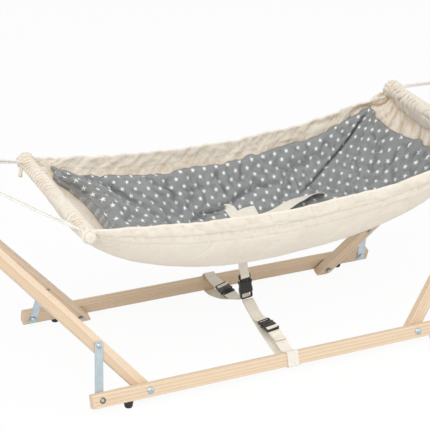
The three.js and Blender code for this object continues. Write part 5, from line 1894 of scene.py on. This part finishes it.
def cornered(places, radius=0.0011, steps=3):
    return roundedOutline([place if len(place) == 3 else (*place, radius) for place in places], steps)


def boxPart(name, low, high, place, ease=0.0005, corner=0.0010):
    outline = cornered([(low[0], low[1]), (high[0], low[1]), (high[0], high[1]), (low[0], high[1])], corner)
    return slabPiece(name, outline, low[2], high[2], [blackPlastic], ease, place)


def boxParts(name, place, *boxes):
    return [boxPart(name, low, high, place, *rest) for low, high, *rest in boxes]


def ringPart(name, outer, inner, low, high, place, ease=0.0009):
    # a plate with a window: two outlines with as many points, joined all round
    count = len(outer)
    outer, inner = np.array(outer), np.array(inner)
    rows = []
    for line, sign in ((outer, -1), (inner, 1)):
        towards = unit(inner - outer)
        steps = [(ease, low), (ease * 0.3, low + ease * 0.3), (0, low + ease), (0, high - ease),
                 (ease * 0.3, high - ease * 0.3), (ease, high)]
        steps = steps if sign < 0 else steps[::-1]
        for inset, z in steps:
            shifted = line - towards * inset * sign
            rows.append(np.column_stack([shifted, np.full(count, z)]))
    points = np.concatenate(rows)
    piece = addPiece(name, points, gridFaces(len(rows), count, aroundRows=True, aroundColumns=True),
                     [blackPlastic])
    piece.data.transform(place)
    return evenOut(piece, plasticAngle)


def rectangleLine(left, right, low, high, radius, perSide=10):
    # a rounded rectangle with the same number of points on each side, for windows
    line = []
    corners = [(left, low), (right, low), (right, high), (left, high)]
    for k, (x, y) in enumerate(corners):
        nextX, nextY = corners[(k + 1) % 4]
        way = np.array([nextX - x, nextY - y])
        size = np.linalg.norm(way)
        way = way / size
        turn = np.array([way[1], -way[0]])
        centre = np.array([x, y]) + way * radius - turn * radius
        for i in range(6):
            angle = math.pi / 2 * (i / 5)
            line.append(tuple(centre - way * radius * math.cos(angle) + turn * radius * math.sin(angle)))
        for i in range(1, perSide):
            spot = np.array([x, y]) + way * (radius + (size - 2 * radius) * i / perSide)
            line.append(tuple(spot))
    return line


def strapBuckle(name, place, node, body, look=buckleLook):
    # a closed side-release buckle: x runs from its male half to its female one, z out of its face
    half, width, high = look["length"] / 2, look["width"] / 2, look["thick"] / 2
    head = -half + look["head"]
    mouth = head + look["neck"]
    tail = half - look["window"]
    # the male half's loop with its bar, its neck and the two prongs that show at the sides
    loop = rectangleLine(-half, head, -width + 0.0015, width - 0.0015, 0.0028)
    window = rectangleLine(-half + 0.0026, head - 0.0030, -width + 0.0052, width - 0.0052, 0.0008)
    parts = [ringPart(name, loop, window, -high + 0.0012, high - 0.0010, place)]
    parts += boxParts(
        name, place,
        ((-half + 0.0050, -width + 0.004, -high + 0.0018), (-half + 0.0076, width - 0.004, high - 0.0030)),
        ((head - 0.001, -width + 0.0075, -0.0024), (mouth + 0.004, width - 0.0075, 0.0024)),
    )
    for side in (-1, 1):
        prong = [(head - 0.001, side * (width - 0.0090)), (head - 0.001, side * (width - 0.0040)),
                 (mouth + 0.0040, side * (width - 0.0046)),
                 (mouth + 0.0062, side * (width + 0.0004), 0.0020),
                 (mouth + 0.0130, side * (width + 0.0006), 0.0020),
                 (mouth + 0.0165, side * (width - 0.0040), 0.002),
                 (mouth + 0.0165, side * (width - 0.0085))]
        parts.append(slabPiece(name, cornered(prong), -0.0027, 0.0027, [blackPlastic], 0.0006, place))
    # the female half: two plates cut out at the sides, the block between them and a window for the strap
    near = [(mouth, 0.0030, 0.0025), (mouth + 0.0060, 0), (mouth + 0.0072, -0.0028),
            (mouth + 0.0150, -0.0028), (mouth + 0.0172, 0)]
    plate = [(x, -width + (0 if k == 0 else -inward), *rest) for k, (x, inward, *rest) in enumerate(near)]
    plate += [(tail, -width), (tail, width)] + [(x, -y, *rest) for x, y, *rest in plate[::-1]]
    for low, top in ((-high, -high + 0.0016), (high - 0.0016, high)):
        parts.append(slabPiece(name, cornered(plate), low, top, [blackPlastic], 0.0005, place))
    parts += boxParts(
        name, place,
        ((mouth + 0.0006, -0.0095, -high + 0.001), (tail - 0.0005, 0.0095, high - 0.001)),
        ((mouth + 0.0172, -width + 0.0004, -high + 0.001), (tail + 0.0006, width - 0.0004, high - 0.001)),
    )
    loop = rectangleLine(tail - 0.0010, half, -width + 0.0008, width - 0.0008, 0.0042)
    window = rectangleLine(tail + 0.0022, half - 0.0030, -width + 0.0042, width - 0.0042, 0.0010)
    parts.append(ringPart(name, loop, window, -high + 0.0004, high - 0.0004, place))
    # grip ribs on the face
    for x in (mouth + 0.0050 + k * 0.0022 for k in range(3)):
        rib = (x, -0.0070, high - 0.0004), (x + 0.0010, 0.0070, high + 0.0005), 0.0002, 0.0004
        parts += boxParts(name, place, rib)
    piece = joinPieces(name, parts)
    return settle(piece, body, node)


for end, word in ((-1, "front"), (1, "rear")):
    y, z = tether[word]
    spot = shifted(np.array([[end * y, z]]), end)[0]
    place = Matrix.Translation(spot) @ Matrix.Rotation(-tether["roll"][word], 4, "Y")
    place = place @ Matrix.Rotation(end * math.pi / 2, 4, "Z")
    strapBuckle("tetherBuckle_" + word, place, "tether_buckle_" + word, "stand")

# the harness buckle lies on the liner where the straps meet
s, t = harness["buckle"]
up = -troughNormal(np.array([s]), np.array([t]))[0]
spot = onLiner([s], [t], harness["buckleRest"])[0]
east = np.array([1.0, 0, 0]) - up * up[0]
east = unit(east)
north = np.cross(up, east)
place = Matrix(np.column_stack([east, north, up, spot]).tolist() + [[0, 0, 0, 1]])
strapBuckle("harnessBuckle", place, "harness_buckle", "hammock")


# the tether's own buckle: its halves part, so each is a piece of its own
def buildSocket(look=buckleLook):
    # its mouth is at the top
    name, place = "tetherSocket", tetherFrame()
    width, high = look["width"] / 2, look["thick"] / 2
    top, seat = look["socket"], look["seat"]
    loop = rectangleLine(-width + 0.0012, width - 0.0012, 0, 0.0176, 0.0045)
    window = rectangleLine(-width + 0.0046, width - 0.0046, 0.0030, 0.0150, 0.0010)
    parts = [ringPart(name, loop, window, -high + 0.0003, high - 0.0003, place)]
    parts += boxParts(
        name, place,
        ((-width + 0.0002, 0.0162, -high), (width - 0.0002, seat - 0.0004, high)),
        ((-width + 0.0040, seat - 0.0030, high - 0.0011), (width - 0.0040, top - 0.0040, high), 0.0003),
    )
    for side in (-1, 1):
        inner, outer, waist = side * (width - 0.0043), side * width, side * (width - 0.0014)
        wall = [(inner, seat - 0.0020), (inner, top, 0.0014), (outer, top, 0.0018), (outer, top - 0.0085),
                (waist, top - 0.0105), (waist, top - 0.0190), (outer, top - 0.0210), (outer, seat - 0.0020)]
        parts.append(slabPiece(name, cornered(wall), -high, high, [blackPlastic], 0.0005, place))
    return joinPieces(name, parts)


def buildTongue(look=buckleLook):
    name, place = "tetherTongue", tetherFrame()
    inside = look["width"] / 2 - look["wall"] - 0.0006
    ear = look["width"] / 2 - 0.0015
    low, headLow = look["seat"] + 0.0008, look["socket"] + look["neck"]
    top = headLow + look["head"]
    high = look["thick"] / 2 - 0.0012
    loop = rectangleLine(-ear, ear, headLow - 0.0008, top, 0.0028)
    window = rectangleLine(-ear + 0.0036, ear - 0.0036, headLow + 0.0024, top - 0.0028, 0.0008)
    parts = [ringPart(name, loop, window, -high, high, place)]
    for side in (-1, 1):
        root, edge = side * 0.0072, side * (inside - 0.0004)
        prong = [(root, headLow), (edge, headLow), (edge, low + 0.0080, 0.003),
                 (side * (inside - 0.0030), low, 0.0016), (root, low + 0.0010)]
        parts.append(slabPiece(name, cornered(prong), -high + 0.0003, high - 0.0003, [blackPlastic], 0.0006,
                               place))
    parts += boxParts(
        name, place,
        ((-0.0052, low + 0.0040, -0.0022), (0.0052, headLow + 0.0005, 0.0022)),
        ((-inside + 0.0004, headLow - 0.0060, -high + 0.0003),
         (inside - 0.0004, headLow + 0.0005, high - 0.0003)),
    )
    return joinPieces(name, parts)


for build, node, body in ((buildSocket, "tether_buckle_female", "tether_socket"),
                          (buildTongue, "tether_buckle_male", "hammock")):
    piece = build()
    settle(piece, body, node)

# the strap from the belly to the upper half, folded round its bar and sewn to itself
bellyPlace = (tether["x"] - trough["leftX"]) / troughLength
bellyLow = float(offTrough(np.array(bellyPlace), np.array(0.5),
                           clothDrape(np.array(bellyPlace), np.array(0.5)))[2])
leaning = tetherFrame()
rise = (bellyLow - tether["bottom"]) / math.cos(tether["tilt"])
headTop = buckleLook["socket"] + buckleLook["neck"] + buckleLook["head"]
route = [(rise - 0.0012, 0.0), (rise - 0.010, 0.0003), (headTop + 0.016, 0.0006),
         (headTop + 0.004, -0.0032), (headTop - 0.0040, -0.0052), (headTop - 0.0085, -0.0050)]
route += [(headTop - 0.0095, 0.0), (headTop - 0.0070, 0.0052), (headTop + 0.004, 0.0040),
          (headTop + 0.016, 0.0024), (headTop + 0.034, 0.0021)]
flat = evenLine(smoothLine(route, 3), 0.0018)
line = np.array([leaning @ Vector((0, y, -z)) for y, z in flat])
across = np.tile(np.array(leaning.to_3x3() @ Vector((1, 0, 0))), (len(line), 1))
strap = evenOut(ribbonPiece("tetherStrap_upper", line, across, width=0.0235), strapAngle)
settle(strap, "hammock", "tether_strap_upper")
print("buckles made")


# floor, light and background
def seenDirectly(tree):
    # 1 for what the camera sees, also in a reflection or through something clear
    path = addNode(tree, "LightPath")
    mirrored = calc(tree, "MAXIMUM", path.outputs["Is Glossy Ray"], path.outputs["Is Transmission Ray"])
    return calc(tree, "MAXIMUM", path.outputs["Is Camera Ray"], mirrored)


floorSetup = {"reach": 30, "paint": (0.90, 0.90, 0.90, 1), "shine": 0.2, "white": 0.93}
floorMesh = bpy.data.meshes.new("floor")
corners = [(x * floorSetup["reach"], y * floorSetup["reach"], 0) for x,
           y in ((-1, -1), (1, -1), (1, 1), (-1, 1))]
floorMesh.from_pydata(corners, [], [(0, 1, 2, 3)])
floor = newObject("floor", floorMesh)
floorMaterial, tree, shader = newMaterial("floorPaint", Roughness=0.9)
shader.inputs["Base Color"].default_value = floorSetup["paint"]
shader.inputs["Specular IOR Level"].default_value = floorSetup["shine"]
glow = addNode(tree, "Emission", {"Color": (1, 1, 1, 1), "Strength": 1.0})
seen = seenDirectly(tree)
both = addNode(tree, "MixShader",
               {0: times(tree, seen, floorSetup["white"]), 1: shader.outputs[0], 2: glow.outputs[0]})
tree.links.new(both.outputs[0], tree.nodes["Material Output"].inputs["Surface"])
floorMesh.materials.append(floorMaterial)

lighting = {
    "ambient": 0.62, "aim": (0, 0, 0.3),
    "key": 95, "keySize": 3.2, "keyPlace": (-1.7, -2.2, 3.4),
    "fill": 26, "fillSize": 3.0, "fillPlace": (2.6, -1.6, 1.9),
}
world = bpy.data.worlds.new("studio")
scene.world = world
world.use_nodes = True
tree = world.node_tree
tree.nodes.clear()
soft = addNode(tree, "Background", {"Color": (1, 1, 1, 1), "Strength": lighting["ambient"]})
white = addNode(tree, "Background", {"Color": (1, 1, 1, 1), "Strength": 1.0})
seen = seenDirectly(tree)
both = addNode(tree, "MixShader", {0: seen, 1: soft.outputs[0], 2: white.outputs[0]})
output = addNode(tree, "OutputWorld")
tree.links.new(both.outputs[0], output.inputs["Surface"])


def addLamp(name, place, aim, power, size):
    data = bpy.data.lights.new(name, "AREA")
    data.energy, data.size = power, size
    lamp = newObject(name, data)
    lamp.location = place
    lamp.rotation_mode = "QUATERNION"
    lamp.rotation_quaternion = (Vector(aim) - Vector(place)).to_track_quat("-Z", "Y")


addLamp("keyLamp", lighting["keyPlace"], lighting["aim"], lighting["key"], lighting["keySize"])
addLamp("fillLamp", lighting["fillPlace"], lighting["aim"], lighting["fill"], lighting["fillSize"])
print("stage lit")
